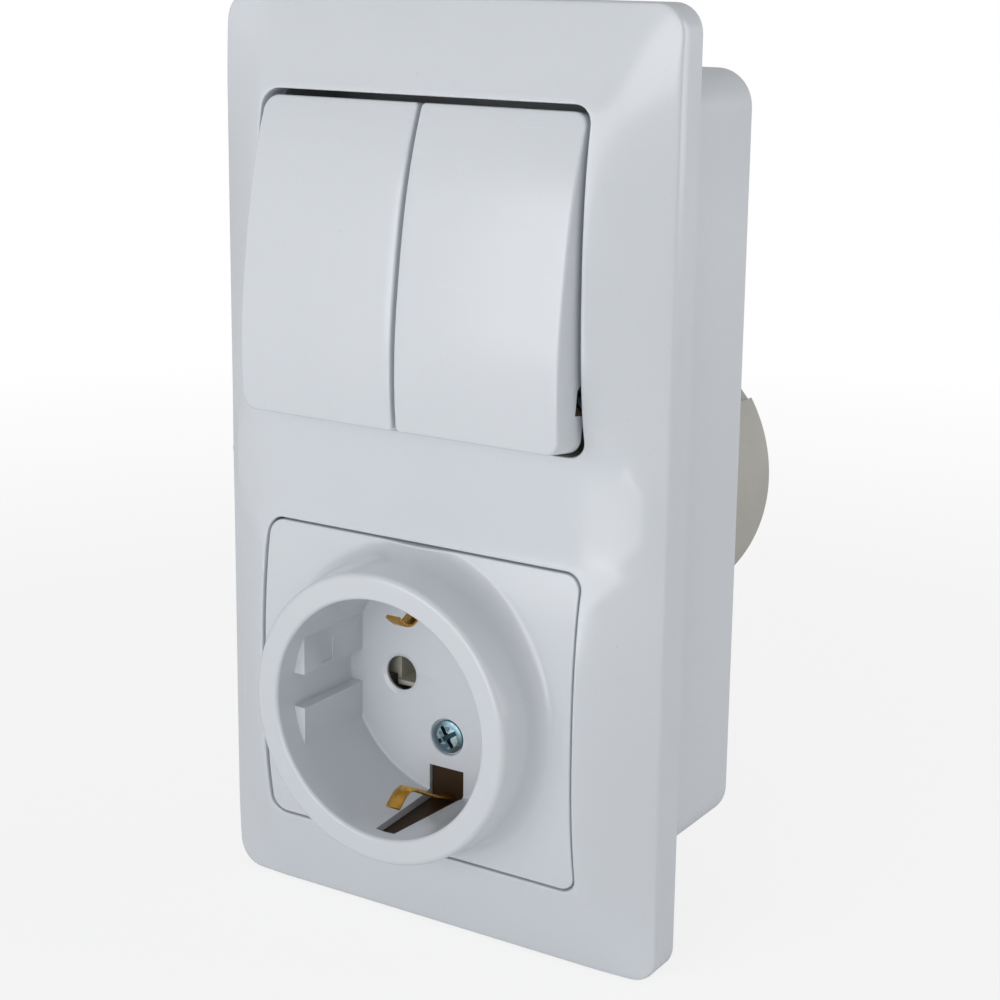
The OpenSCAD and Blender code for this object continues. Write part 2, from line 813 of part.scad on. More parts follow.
// Side view of an earth clip: a strip that leans in, curls over and ends free
function clip_line() = [
    [floor_back_h - strap_t, clip_root_z], [floor_h + 1.3, clip_root_z],
    [clip_knee_h - 1.6, clip_knee_z + 0.4], [clip_knee_h, clip_knee_z],
    [clip_knee_h + 1.4, clip_knee_z + 0.3], [clip_end_h, clip_end_z]
];

module clip_side(level) {
    line = clip_line();
    n = len(line);
    front = [for (p = line) [wall_y - p[0], socket_z + level * p[1]]];
    rear = [for (i = [n - 1:-1:0]) [wall_y - line[i][0], socket_z + level * (line[i][1] + clip_t)]];
    polygon(concat(front, rear));
}

module earth_strap() {
    color(brass)
        difference() {
            union() {
                block_y(0, socket_z, strap_w, 2 * clip_root_z, floor_back_h - strap_t, floor_back_h);
                for (level = [-1, 1]) {
                    along_x(-clip_w / 2, clip_w / 2)
                        clip_side(level);
                }
                block_y(earth_arm / 2, socket_z + earth_terminal_z, earth_arm, arm_w,
                    floor_back_h - strap_t, floor_back_h);
                block_y((earth_arm + earth_block_x) / 2, socket_z + earth_terminal_z,
                    earth_arm - earth_block_x, arm_w, floor_back_h - strap_t - past, floor_back_h);
                block_y(earth_terminal_x, socket_z + earth_terminal_z, terminal_w, terminal_l,
                    floor_back_h - strap_t - terminal_t, floor_back_h - strap_t);
            }
            round_y(0, socket_z - cover_screw_drop, cover_screw_r + screw_fit / 2, -past - strap_t, past);
            round_y(earth_terminal_x, socket_z + earth_terminal_z, screw_r + screw_fit,
                floor_back_h - strap_t - terminal_t - past, past);
        }
}

// Live contact: two leaves that grip a pin, an arm and its terminal block
module live_contact(side) {
    leaf_front = floor_back_h - 1;
    leaf_back = -base_d + contact_floor + leaf_room + leaf_t;
    arm_h = floor_back_h - 2;
    leaf_w = 5;
    leaf_edge = pin_x + leaf_w / 2;
    color(brass)
        difference() {
            union() {
                for (level = [-1, 1])
                    block_y(side * pin_x, socket_z + level * (leaf_gap + leaf_t) / 2, leaf_w, leaf_t,
                        leaf_back, leaf_front);
                block_y(side * pin_x, socket_z, leaf_w, leaf_gap + 2 * leaf_t, leaf_back - leaf_t,
                    leaf_back + eps);
                block_y(side * (leaf_edge + leaf_t / 2 - eps), socket_z, leaf_t + 2 * eps,
                    leaf_gap + 2 * leaf_t, leaf_back - leaf_t, arm_h);
                block_y(side * (leaf_edge + socket_terminal_x) / 2, socket_z,
                    socket_terminal_x - leaf_edge, arm_w, arm_h - 1, arm_h);
                block_y(side * socket_terminal_x, socket_z, terminal_w, terminal_l,
                    arm_h - terminal_t, arm_h);
            }
            round_y(side * socket_terminal_x, socket_z, screw_r + screw_fit, arm_h - terminal_t - past, past);
        }
}

module socket_terminal_screws() {
    color(steel) {
        for (side = [-1, 1])
            small_screw(side * socket_terminal_x, socket_z, floor_back_h - 2, terminal_t);
        small_screw(earth_terminal_x, socket_z + earth_terminal_z, floor_back_h - strap_t, terminal_t);
    }
}

module socket_base() {
    front_h = floor_back_h;
    room = strap_room;
    cavity_back = -base_d + contact_floor;
    terminal_back = floor_back_h - 2 - terminal_t - room;
    earth_back = floor_back_h - strap_t - terminal_t - room;
    color(beige)
        difference() {
            base_body(socket_z, socket_base_w, socket_base_h, front_h);
            for (side = [-1, 1]) {
                block_y(side * pin_x, socket_z, 2 * cavity_half_x, 2 * cavity_half_z, cavity_back,
                    front_h + past);
                block_y(side * (pin_x + socket_terminal_x) / 2, socket_z, socket_terminal_x - pin_x, 4,
                    floor_back_h - 3 - room, front_h + past);
                block_y(side * socket_terminal_x, socket_z, terminal_w + 2 * room, terminal_l + 2 * room,
                    terminal_back, front_h + past);
            }
            block_y(0, socket_z, strap_w + 2 * room, 2 * (clip_root_z + clip_t + room), front_h - strap_t,
                front_h + past);
            block_y(earth_terminal_x / 2, socket_z + earth_terminal_z, earth_terminal_x, arm_w + 2 * room,
                front_h - strap_t, front_h + past);
            block_y(earth_terminal_x, socket_z + earth_terminal_z, terminal_w + 2 * room,
                terminal_l + 2 * room, earth_back, front_h + past);
            round_y(0, socket_z - cover_screw_drop, cover_screw_r + screw_fit, -cover_screw_reach - past,
                past);
            base_holes(socket_screw_x, socket_z, -socket_screw_z, front_h);
        }
}

module socket_base_screws() {
    seat = floor_back_h - screw_head_t - 0.4;
    color(steel)
        for (side = [-1, 1])
            small_screw(side * socket_screw_x, socket_z - socket_screw_z, seat, base_d + seat + post_bite);
}

// Posts on the housing's back that a base stands on, each with a pilot hole
module post(x, z) {
    difference() {
        round_y(x, z, boss_r, -housing_d + housing_back - eps, -base_d);
        round_y(x, z, screw_r + screw_fit, -base_d - post_bite - screw_room, -base_d + past);
    }
}

module housing_shell() {
    difference() {
        translate([0, 0, housing_z])
            along_y(wall_y - front_rim_h, 0)
                rounded_rect(housing_w, housing_h, housing_corner);
        translate([0, 0, housing_z])
            along_y(wall_y - front_rim_h - past, -housing_back)
                rounded_rect(housing_w - 2 * housing_wall, housing_h - 2 * housing_wall,
                    housing_corner - housing_wall);
    }
}

// Snap hooks on the housing's sides that reach over ledges inside the frame
module hook(side, z) {
    tab = 1.8;
    in_x = housing_w / 2 - housing_wall - 1;
    tip_h = 5.4;
    head_t = 1;
    block_y(side * (in_x + tab / 2), frame_z + z, tab, 2 * hook_half - 2, -4, tip_h);
    block_y(side * (in_x + tab + 0.5 - eps), frame_z + z, 1 + 2 * eps, 2 * hook_half - 2, tip_h - head_t,
        tip_h);
}

module rear_housing() {
    color(white)
        difference() {
            union() {
                housing_shell();
                for (x = [-1, 1], z = [-1, 1]) {
                    post(x * switch_screw_x, switch_z + z * switch_screw_z);
                    post(x * socket_screw_x, socket_z + z * socket_screw_z);
                }
                for (side = [-1, 1], z = hook_z)
                    hook(side, z);
            }
            round_y(0, 0, cup_hole_r, -housing_d - past, -housing_d + housing_back + past);
            for (side = [-1, 1])
                round_y(side * fixing_pitch / 2, 0, fixing_hole / 2, -housing_d - past,
                    -housing_d + housing_back + past);
            for (a = [45:90:315])
                round_y(cup_screw_r * cos(a), cup_screw_r * sin(a), screw_r + screw_fit, -housing_d - past,
                    -housing_d + housing_back + past);
        }
}

// Round cup in the wall box: four screw bosses inside, a cable entry at the back
module rear_cup() {
    back_t = 2.6;
    flat_w = 8;
    color(beige)
        difference() {
            union() {
                difference() {
                    round_y(0, 0, cup_r, -housing_d - cup_d, -housing_d);
                    round_y(0, 0, cup_r - cup_wall, -housing_d - cup_d + back_t, -housing_d + past);
                }
                intersection() {
                    round_y(0, 0, cup_r - cup_wall / 2, -housing_d - cup_boss_l, -housing_d);
                    for (a = [45:90:315])
                        round_y(cup_screw_r * cos(a), cup_screw_r * sin(a), boss_r,
                            -housing_d - cup_boss_l, -housing_d);
                }
            }
            round_y(0, 0, cable_r, -housing_d - cup_d - past, -housing_d - cup_d + back_t + past);
            for (a = [45:90:315])
                round_y(cup_screw_r * cos(a), cup_screw_r * sin(a), screw_r + screw_fit,
                    -housing_d - cup_bite - screw_room, -housing_d + past);
            for (a = [40, 140])
                rotate([0, -a, 0])
                    translate([cup_r - cup_flat, -past, -flat_w / 2])
                        cube([cup_flat + past, cup_d + 2 * past, flat_w]);
        }
}

module rear_cup_screws() {
    color(steel)
        for (a = [45:90:315])
            small_screw(cup_screw_r * cos(a), cup_screw_r * sin(a), -housing_d + housing_back,
                housing_back + cup_bite);
}

front_frame();
rocker(-1);  // rocker_left
rocker(1);  // rocker_right
rocker_yoke(-1);  // rocker_yoke_left
rocker_yoke(1);  // rocker_yoke_right
plunger(-1);  // plunger_left
plunger(1);  // plunger_right
plunger_spring(-1);  // plunger_spring_left
plunger_spring(1);  // plunger_spring_right
contact_rocker(-1);  // contact_rocker_left
contact_rocker(1);  // contact_rocker_right
switch_base();
common_contact();
fixed_contact(-1);  // fixed_contact_left
fixed_contact(1);  // fixed_contact_right
switch_terminal_screws();
switch_base_screws();
socket_cover();
cover_screw();
earth_strap();
live_contact(-1);  // live_contact_left
live_contact(1);  // live_contact_right
socket_terminal_screws();
socket_base();
socket_base_screws();
rear_housing();
rear_cup();
rear_cup_screws();
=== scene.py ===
# %% [markdown]
# # A rocker switch over an earthed socket, behind one frame
#
# This lesson dresses a wall unit whose solids are already made. The solids give every size and
# every seat; here the faces that catch the light get their soft edges, and each material gets the
# finish that the real one has, save the strap behind the slots, whose near-black brown is painted
# shade. All lengths below are typed in millimetres, as a drawing would have
# them, and turned to metres once, when a mesh is made.

# %% Load the solids
import json
import math
import bpy
import numpy as np
from mathutils import Matrix, Vector

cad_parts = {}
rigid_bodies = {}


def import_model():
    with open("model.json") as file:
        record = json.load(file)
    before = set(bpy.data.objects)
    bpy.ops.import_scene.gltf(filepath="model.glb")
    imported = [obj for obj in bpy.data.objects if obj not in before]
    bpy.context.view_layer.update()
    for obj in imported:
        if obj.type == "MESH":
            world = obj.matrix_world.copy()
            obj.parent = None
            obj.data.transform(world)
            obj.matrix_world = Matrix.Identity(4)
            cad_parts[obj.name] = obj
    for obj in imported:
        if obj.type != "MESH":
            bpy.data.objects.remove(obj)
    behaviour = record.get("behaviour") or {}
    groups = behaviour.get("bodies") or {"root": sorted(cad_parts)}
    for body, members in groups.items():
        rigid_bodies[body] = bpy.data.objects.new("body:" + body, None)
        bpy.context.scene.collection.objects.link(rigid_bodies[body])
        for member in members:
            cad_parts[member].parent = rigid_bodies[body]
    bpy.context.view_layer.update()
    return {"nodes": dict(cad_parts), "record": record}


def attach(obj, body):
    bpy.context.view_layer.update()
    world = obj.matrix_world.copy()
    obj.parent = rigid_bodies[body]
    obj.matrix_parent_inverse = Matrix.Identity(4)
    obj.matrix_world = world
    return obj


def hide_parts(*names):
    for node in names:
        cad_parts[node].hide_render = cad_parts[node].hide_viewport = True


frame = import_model()

# %% [markdown]
# ## The camera
#
# The photograph was taken from the right and a little above. Its viewpoint can be worked out from
# the straight edges of the frame and from the round rim, whose usual bore gives the scale. A camera
# object could be aimed by eye, but then the picture would carry that error, so fitted
# numbers are used: the direction of sight, the roll, the focal length in image widths and the place.
# The picture's shift is held at a small value, which costs a few pixels at the corners and keeps the
# part whole in the views from other sides.

# %% Camera at the photograph's viewpoint
AZIMUTH, ELEVATION, ROLL = 0.5625, 0.2230, 0.0122
FOCAL = 2.0632
EYE = Vector((180.49, -295.48, 92.93)) / 1000

sight = Vector((-math.sin(AZIMUTH) * math.cos(ELEVATION), math.cos(AZIMUTH) * math.cos(ELEVATION),
                -math.sin(ELEVATION)))
level = Vector((math.cos(AZIMUTH), math.sin(AZIMUTH), 0))
upright = level.cross(sight)
right = level * math.cos(ROLL) + upright * math.sin(ROLL)
up = upright * math.cos(ROLL) - level * math.sin(ROLL)

camera = bpy.data.objects.new("camera", bpy.data.cameras.new("camera"))
bpy.context.scene.collection.objects.link(camera)
camera.matrix_world = Matrix((
    (right.x, up.x, -sight.x, EYE.x),
    (right.y, up.y, -sight.y, EYE.y),
    (right.z, up.z, -sight.z, EYE.z),
    (0, 0, 0, 1)))
camera.data.sensor_width = 36
camera.data.lens = 36 * FOCAL
camera.data.shift_y = -0.08
camera.data.clip_start, camera.data.clip_end = 0.01, 20
bpy.context.scene.camera = camera
print("camera: lens", round(camera.data.lens, 1), "mm, distance", round(EYE.length, 3), "m")

# %% [markdown]
# ## Meshes from arrays
#
# Every new surface is a grid: rows across the form and columns along it. A row is one closed loop
# or one open line of points, and the next row lies beside it, so the faces follow from counting.
# Working with whole arrays keeps the formulas readable, and the mesh is filled in one step.

# %% Grid helpers
WALL_Y = -22.0
FRAME_Z = 9.4
SWITCH_Z = 35.5
SOCKET_Z = -35.5


def in_metres(x, h, z):
    """Points typed as x, height h over the wall plane and z from the frame's middle, in mm,
    as rows of x, y, z in the part's own frame in metres: y is the wall plane less h."""
    x, h, z = np.broadcast_arrays(x, h, z)
    return np.stack([x, WALL_Y - h, z + FRAME_Z], axis=-1) / 1000


def grid_faces(rows, columns, closed):
    """Quads of a grid numbered row by row: point (i, j) is i * columns + j. A closed grid joins
    its last column to its first."""
    i = np.arange(rows - 1)[:, None]
    j = np.arange(columns if closed else columns - 1)[None, :]
    k = (j + 1) % columns
    quads = np.stack([i * columns + j, i * columns + k,
                      (i + 1) * columns + k, (i + 1) * columns + j], -1)
    return quads.reshape(-1, 4)


def mesh_of(name, points, faces):
    """A mesh from an array of points and an array of faces with equal corner counts."""
    points = np.asarray(points, dtype=np.float32).reshape(-1, 3)
    faces = np.asarray(faces, dtype=np.int32)
    mesh = bpy.data.meshes.new(name)
    mesh.vertices.add(len(points))
    mesh.vertices.foreach_set("co", points.ravel())
    mesh.loops.add(faces.size)
    mesh.loops.foreach_set("vertex_index", faces.ravel())
    mesh.polygons.add(len(faces))
    mesh.polygons.foreach_set("loop_start", np.arange(0, faces.size, faces.shape[1], dtype=np.int32))
    mesh.update(calc_edges=True)
    mesh.validate()
    return mesh


def tidy(mesh, outwards=True):
    """Joins points that fell on each other, and turns the faces of a closed mesh outwards."""
    import bmesh
    work = bmesh.new()
    work.from_mesh(mesh)
    bmesh.ops.remove_doubles(work, verts=work.verts, dist=2e-6)
    bmesh.ops.dissolve_degenerate(work, edges=work.edges, dist=1e-6)
    if outwards:
        bmesh.ops.recalc_face_normals(work, faces=work.faces)
    work.to_mesh(mesh)
    work.free()


def shade(mesh, angle=35):
    """Smooth shading that breaks at edges sharper than the angle, in degrees."""
    mesh.shade_smooth()
    mesh.set_sharp_from_angle(angle=math.radians(angle))


def piece(name, mesh, body, slot, *nodes):
    """A finished piece: it rides on a body and stands for the named solids. The slot is not used."""
    made = bpy.data.objects.new(name, mesh)
    bpy.context.scene.collection.objects.link(made)
    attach(made, body)
    if nodes:
        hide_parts(*nodes)
    return made


# %% [markdown]
# ## Outlines
#
# The frame, its two openings, the rocker caps and the socket cover are all rounded rectangles seen
# from the front. If each outline is drawn with the same count of points in each corner and on each
# side, any two of them can be joined by rows of points in between, which is how a lofted face is
# made. A corner may also stay square, where the upper and the lower half of the frame meet.

# %% Rounded outlines
def outline(half_w, low, high, radii, square=(0, 0, 0, 0), side=20, arc=9):
    """Points x, z round a rectangle, counter-clockwise from its right upper corner. Each corner
    is an arc of its own radius about a centre set in by that radius; where square is 1, each
    direction is divided by its longer part, which pushes the arc out to the corner itself. The
    sides between are evenly spaced straight points."""
    radii = np.asarray(radii, float)
    centre = np.stack([
        np.array([half_w, -half_w, -half_w, half_w]) + radii * np.array([-1, 1, 1, -1]),
        np.array([high, high, low, low]) + radii * np.array([-1, -1, 1, 1])], -1)
    turn = np.linspace(0, np.pi / 2, arc)[None, :] + np.arange(4)[:, None] * np.pi / 2
    way = np.stack([np.cos(turn), np.sin(turn)], -1)
    pushed = way / np.abs(way).max(-1, keepdims=True)
    way = np.where(np.asarray(square)[:, None, None] > 0, pushed, way)
    corners = centre[:, None, :] + radii[:, None, None] * way
    t = np.linspace(0, 1, side + 2)[1:-1, None]
    start, end = corners[:, -1], np.roll(corners[:, 0], -1, axis=0)
    sides = start[:, None, :] * (1 - t) + end[:, None, :] * t
    return np.concatenate([corners, sides], axis=1).reshape(-1, 2)


def loft(inner, outer, t):
    """Rows between two outlines of equal point count: row t is inner * (1 - t) + outer * t."""
    t = np.asarray(t)
    t = t[:, None, None] if t.ndim == 1 else t[:, :, None]
    return inner[None] * (1 - t) + outer[None] * t


opening = outline(30.4, -26.5, 26.5, (3, 3, 3, 3))
print("outline of an opening:", len(opening), "points")

# %% [markdown]
# ## The frame
#
# The real frame is one moulding. Its straight side wall ends in a crease 6.2 mm over the wall, and
# from there the border rises to the openings, whose long sides are arched like a pillow. A subdivided
# box could be pulled into this form, but the arch, the crease and the soft mitres at the corners are
# easier to hold as a height over each point x, z. So the rows only decide where points lie, and one
# function gives all their heights. The inner face is the same function, less the wall's thickness.

# %% Height of the frame's face
EDGE_H, CREST_H, CREASE_H, FLANK_POWER = 11.4, 13.7, 6.2, 1.15
HALF_W, HALF_H = 42.2, 76.75
OPEN_HALF_W, OPEN_HALF_H = 30.4, 26.5
OPEN_LOW, OPEN_HIGH = 9.0, 62.0


def arch(dz):
    """Height beside an opening at dz from its middle: 13.7 in its middle, falling with the 2.5th
    power of the distance to 11.4 at its ends. Past the ends the fall goes on at the same slope and
    dies away like an exponential, 0.5 mm further down, so the bridge is a shallow valley."""
    u = np.abs(dz) / OPEN_HALF_H
    past = -0.2 * (1 - np.exp(-np.maximum(u - 1, 0) * 2.5 / 0.2))
    return EDGE_H + (CREST_H - EDGE_H) * np.where(u < 1, 1 - u ** 2.5, past)


def face_height(x, z):
    """Height of the frame's face at x, z. Beside an opening the side slope begins at the opening's
    edge; on the bridge between the openings it begins up to 9 mm further out, along an arc that
    follows a flattened bell curve of z, and the land inside this arc dips towards it with the
    square of the distance. Two ramps run from 0 to 1 across the side slope and the end slope, each
    with a softened start, which for the side slope is widest where the arc swings out.
    Their norm of order q is 1 along the crease; q grows outwards from 1.7 to 4.7, which rounds the
    mitre widely and still keeps the crease level."""
    d, e = np.abs(x) - OPEN_HALF_W, np.abs(z) - OPEN_HIGH
    reach = 9.0 * np.exp(-(z / 10.5) ** 4)
    dip = 2.75 * (reach / 9) ** 1.5
    soft = 6.4 * (reach / 9) * (1 - reach / 9) + 0.02
    side = ((d - reach + np.sqrt((d - reach) ** 2 + soft ** 2))
            / (11.8 - reach + np.sqrt((11.8 - reach) ** 2 + soft ** 2)))
    end = (e + np.sqrt(e * e + 1.5)) / (14.75 + np.sqrt(14.75 ** 2 + 1.5))
    q = 1.7 + 3 * np.clip((side + end) / 2, 0, 1) ** 3
    slope = (side ** q + end ** q) ** (1 / q)
    top = arch(np.abs(z) - SWITCH_Z) - dip * (np.clip(d + 3.4, 0, reach + 3.4) / (reach + 3.4)) ** 2
    return top - (top - CREASE_H) * slope ** (FLANK_POWER - 0.15 * reach / 9)


# %% The frame as two lofted rings
WALL_T, LIP_T, LIP_LOW = 2.0, 1.4, 6.4
SIDE_POINTS = 44


def frame_ring(side):
    """One half of the frame, as a closed tube of rows round its opening: up the lip, over a small
    quarter round, across the face, over a quarter round at the crease, down the side wall, and
    back along the inner faces. A quarter round takes its radius times one less cosine off the way
    across, and its radius times one less sine off the height. At z = 0 the two halves meet, so
    the side wall has no faces there."""
    inner = outline(OPEN_HALF_W, OPEN_LOW, OPEN_HIGH, (3, 3, 3, 3), side=SIDE_POINTS)
    outer = outline(HALF_W, 0.0, HALF_H, (4.5, 4.5, 3, 3), square=(0, 0, 1, 1), side=SIDE_POINTS)
    reach = np.linalg.norm(outer - inner, axis=1)
    bend = np.linspace(0, np.pi / 2, 5)
    lip, crease = 0.35, 0.45
    t_lip = lip * (1 - np.cos(bend))[:, None] / reach
    t_face = lip / reach + (1 - (lip + crease) / reach) * np.linspace(0, 1, 30)[1:-1, None]
    t_crease = 1 - crease * (1 - np.sin(bend))[:, None] / reach
    plan = loft(inner, outer, np.concatenate([t_lip, t_face, t_crease]))
    h = face_height(plan[..., 0], plan[..., 1])
    seam = outer[:, 1] < 1e-6
    h[:5] -= (lip * (1 - np.sin(bend)))[:, None]
    h[-5:] -= np.where(seam, 0, (crease * (1 - np.cos(bend)))[:, None])

    hollow_in = outline(OPEN_HALF_W + LIP_T, OPEN_LOW - LIP_T, OPEN_HIGH + LIP_T, (4.4, 4.4, 4.4, 4.4),
                        side=SIDE_POINTS)
    hollow_out = outline(HALF_W - WALL_T, 0.0, HALF_H - WALL_T, (2.5, 2.5, 3, 3),
                         square=(0, 0, 1, 1), side=SIDE_POINTS)
    back = loft(hollow_out, hollow_in, np.linspace(0, 1, 9))
    back_h = face_height(back[..., 0], back[..., 1]) - WALL_T
    ones = np.ones(len(inner))
    rows = [(inner, LIP_LOW * ones), (inner, 8.7 * ones)]
    rows += list(zip(plan, h))
    rows += [(outer, 4.0 * ones), (outer, 0.0 * ones), (hollow_out, 0.0 * ones)]
    rows += list(zip(back, back_h)) + [(hollow_in, LIP_LOW * ones), (inner, LIP_LOW * ones)]
    xz = np.stack([r[0] for r in rows])
    faces = grid_faces(len(rows), len(inner), closed=True)
    faces = faces[(xz.reshape(-1, 2)[faces][..., 1] > 1e-6).any(1)]
    points = in_metres(xz[..., 0], np.stack([r[1] for r in rows]), side * xz[..., 1])
    return points.reshape(-1, 3), faces if side < 0 else faces[:, ::-1]


upper_points, upper_faces = frame_ring(1)
lower_points, lower_faces = frame_ring(-1)
frame_mesh = mesh_of("frame_face", np.concatenate([upper_points, lower_points]),
                     np.concatenate([upper_faces, lower_faces + len(upper_points)]))
tidy(frame_mesh)
shade(frame_mesh, 40)
frame_face = piece("frame_face", frame_mesh, "base", "white_plastic", "front_frame")
open_edges = len(frame_mesh.edges) * 2 - sum(len(p.vertices) for p in frame_mesh.polygons)
print("frame:", len(frame_mesh.vertices), "points, open edges", open_edges)

# %% [markdown]
# ## The rocker caps
#
# Each cap is a shallow tray turned over, with an arched top. Its outer corners follow the opening's
# corners, and its inner corners are nearly sharp. A box with a Bevel modifier would round all edges
# alike and keep a flat top. Here loops shrink from the outline to the cap's middle line, the arch
# gives their heights, and the whole cap is tilted about its pins, because the photograph shows it
# pressed in at the top.

# %% Rocker caps
PIVOT_H, PIVOT_Z, TILT = 10.0, 35.2, math.radians(7.9)
CAP_HALF_LEN, CAP_IN, CAP_OUT = 25.4, 0.35, 29.8


def cap_line(z):
    """Height of a level cap over the wall plane at z from its pins: 14.8 at its ends and 17.6 in
    its middle, falling with the 2.5th power of the distance."""
    return 14.8 + 2.8 * (1 - np.clip(np.abs(z) / CAP_HALF_LEN, 0, 1) ** 2.5)


def cap_points(side):
    """Rows of a cap from its middle to the end of its skirt. The outline is drawn for the right
    cap and mirrored for the left. Over the top a row is the outline shrunk to its middle line, and
    at the edge a quarter round leads into the skirt. The tilt turns height and z about the pins."""
    half_w = (CAP_OUT - CAP_IN) / 2
    edge = outline(half_w, -CAP_HALF_LEN, CAP_HALF_LEN, (2.4, 0.7, 0.7, 2.4), side=28, arc=9)
    spine_z = np.clip(edge[:, 1], -CAP_HALF_LEN + half_w, CAP_HALF_LEN - half_w)
    spine = np.stack([edge[:, 0] * 0, spine_z], -1)
    reach = np.linalg.norm(edge - spine, axis=1)
    bend = np.linspace(0, np.pi / 2, 6)
    soft = 0.45
    t_top = np.linspace(0, 1, 14)[:-1, None] * (1 - soft / reach)
    t_bend = 1 - soft * (1 - np.sin(bend))[:, None] / reach
    plan = loft(spine, edge, np.concatenate([t_top, t_bend]))
    x, z = plan[..., 0], plan[..., 1]
    drop = np.concatenate([np.zeros(len(t_top)), soft * (1 - np.cos(bend))])[:, None]
    h = cap_line(z) - drop
    skirt_h = np.array([13.2, 11.0, 8.4])[:, None] * np.ones(len(edge))
    x = np.concatenate([x, np.repeat(x[-1:], 3, 0)])
    z = np.concatenate([z, np.repeat(z[-1:], 3, 0)])
    h = np.concatenate([h, skirt_h])
    x = side * (x + (CAP_IN + CAP_OUT) / 2)
    return x, h, z, len(edge)


def tilted(h, z):
    """Height and z after the cap has turned about its pins, top inwards: the arm from the pins is
    turned by the tilt."""
    arm_h, arm_z = h - PIVOT_H, z
    return (PIVOT_H + arm_h * math.cos(TILT) - arm_z * math.sin(TILT),
            PIVOT_Z + arm_h * math.sin(TILT) + arm_z * math.cos(TILT))


def prism(name, corners_hz, x_from, x_to):
    """A closed prism along x over a polygon of height and z, for cutting."""
    corners = np.asarray(corners_hz, float)
    n = len(corners)
    points = np.concatenate([in_metres(np.full(n, x), corners[:, 0], corners[:, 1])
                             for x in (x_from, x_to)])
    mesh = bpy.data.meshes.new(name)
    side = [(i, (i + 1) % n, n + (i + 1) % n, n + i) for i in range(n)]
    mesh.from_pydata(points.tolist(), [], side + [tuple(range(n))[::-1], tuple(range(n, 2 * n))])
    tidy(mesh)
    return mesh


def carve(mesh, tools, join=()):
    """The mesh with the join meshes added and the tool meshes cut away, by exact Booleans whose
    results are taken back into a plain mesh. The helpers are deleted."""
    body = bpy.data.objects.new("work", mesh)
    scene = bpy.context.scene.collection
    scene.objects.link(body)
    helpers = []
    for kind, shapes in (("UNION", join), ("DIFFERENCE", tools)):
        for shape in shapes:
            helper = bpy.data.objects.new("helper", shape)
            scene.objects.link(helper)
            helpers.append(helper)
            step = body.modifiers.new(kind.lower(), "BOOLEAN")
            step.operation, step.solver, step.object = kind, "EXACT", helper
    bpy.context.view_layer.update()
    done = bpy.data.meshes.new_from_object(body.evaluated_get(bpy.context.evaluated_depsgraph_get()))
    for used in [body, *helpers]:
        bpy.data.objects.remove(used)
    return done


def rocker_cap(name, side, node):
    """One cap: grid, wall thickness, the notch in its outer skirt, then smooth shading."""
    x, h, z, count = cap_points(side)
    h, z = tilted(h, z)
    faces = grid_faces(len(x), count, closed=True)
    mesh = mesh_of(name, in_metres(x, h, z).reshape(-1, 3), faces if side > 0 else faces[:, ::-1])
    tidy(mesh, outwards=False)
    shell = bpy.data.objects.new("shell", mesh)
    bpy.context.scene.collection.objects.link(shell)
    solid = shell.modifiers.new("wall", "SOLIDIFY")
    solid.thickness, solid.offset = 0.0015, 1.0
    bpy.context.view_layer.update()
    closed = bpy.data.meshes.new_from_object(shell.evaluated_get(bpy.context.evaluated_depsgraph_get()))
    bpy.data.objects.remove(shell)
    tidy(closed)
    notch = np.array([(7.0, -19.4), (10.8, -19.4), (10.8, -15.6), (9.2, -14.0), (7.0, -14.0)])
    notch = np.stack(tilted(notch[:, 0], notch[:, 1]), -1)
    cut = prism("notch", notch, side * (CAP_OUT - 2.0), side * (CAP_OUT + 1.0))
    done = carve(closed, [cut])
    shade(done, 40)
    return piece(name, done, "rocker_" + name.split("_")[-1] + "_body", "white_plastic", node)


cap_left = rocker_cap("rocker_cap_left", -1, "rocker_left")
cap_right = rocker_cap("rocker_cap_right", 1, "rocker_right")
print("caps:", len(cap_left.data.polygons), "and", len(cap_right.data.polygons), "faces")

# %% [markdown]
# ## The socket cover
#
# Plate, flared collar, rim, well and floor are one moulding. A turned profile would give the collar
# but not the arched plate round it, so the profile is carried round the well while its outer part
# runs out to the plate's rounded outline. The guide ribs are then joined on, and the pin holes, the
# screw's seat and the two clip slots are cut, as the mould's cores would leave them.

# %% Cover surface
WELL_R, RIM_H, FLOOR_H = 19.75, 23.2, 2.7
SCREW_Z = SOCKET_Z - 9.4
COLLAR_R, FOOT_R, COVER_LOW = 24.1, 27.2, 9.2


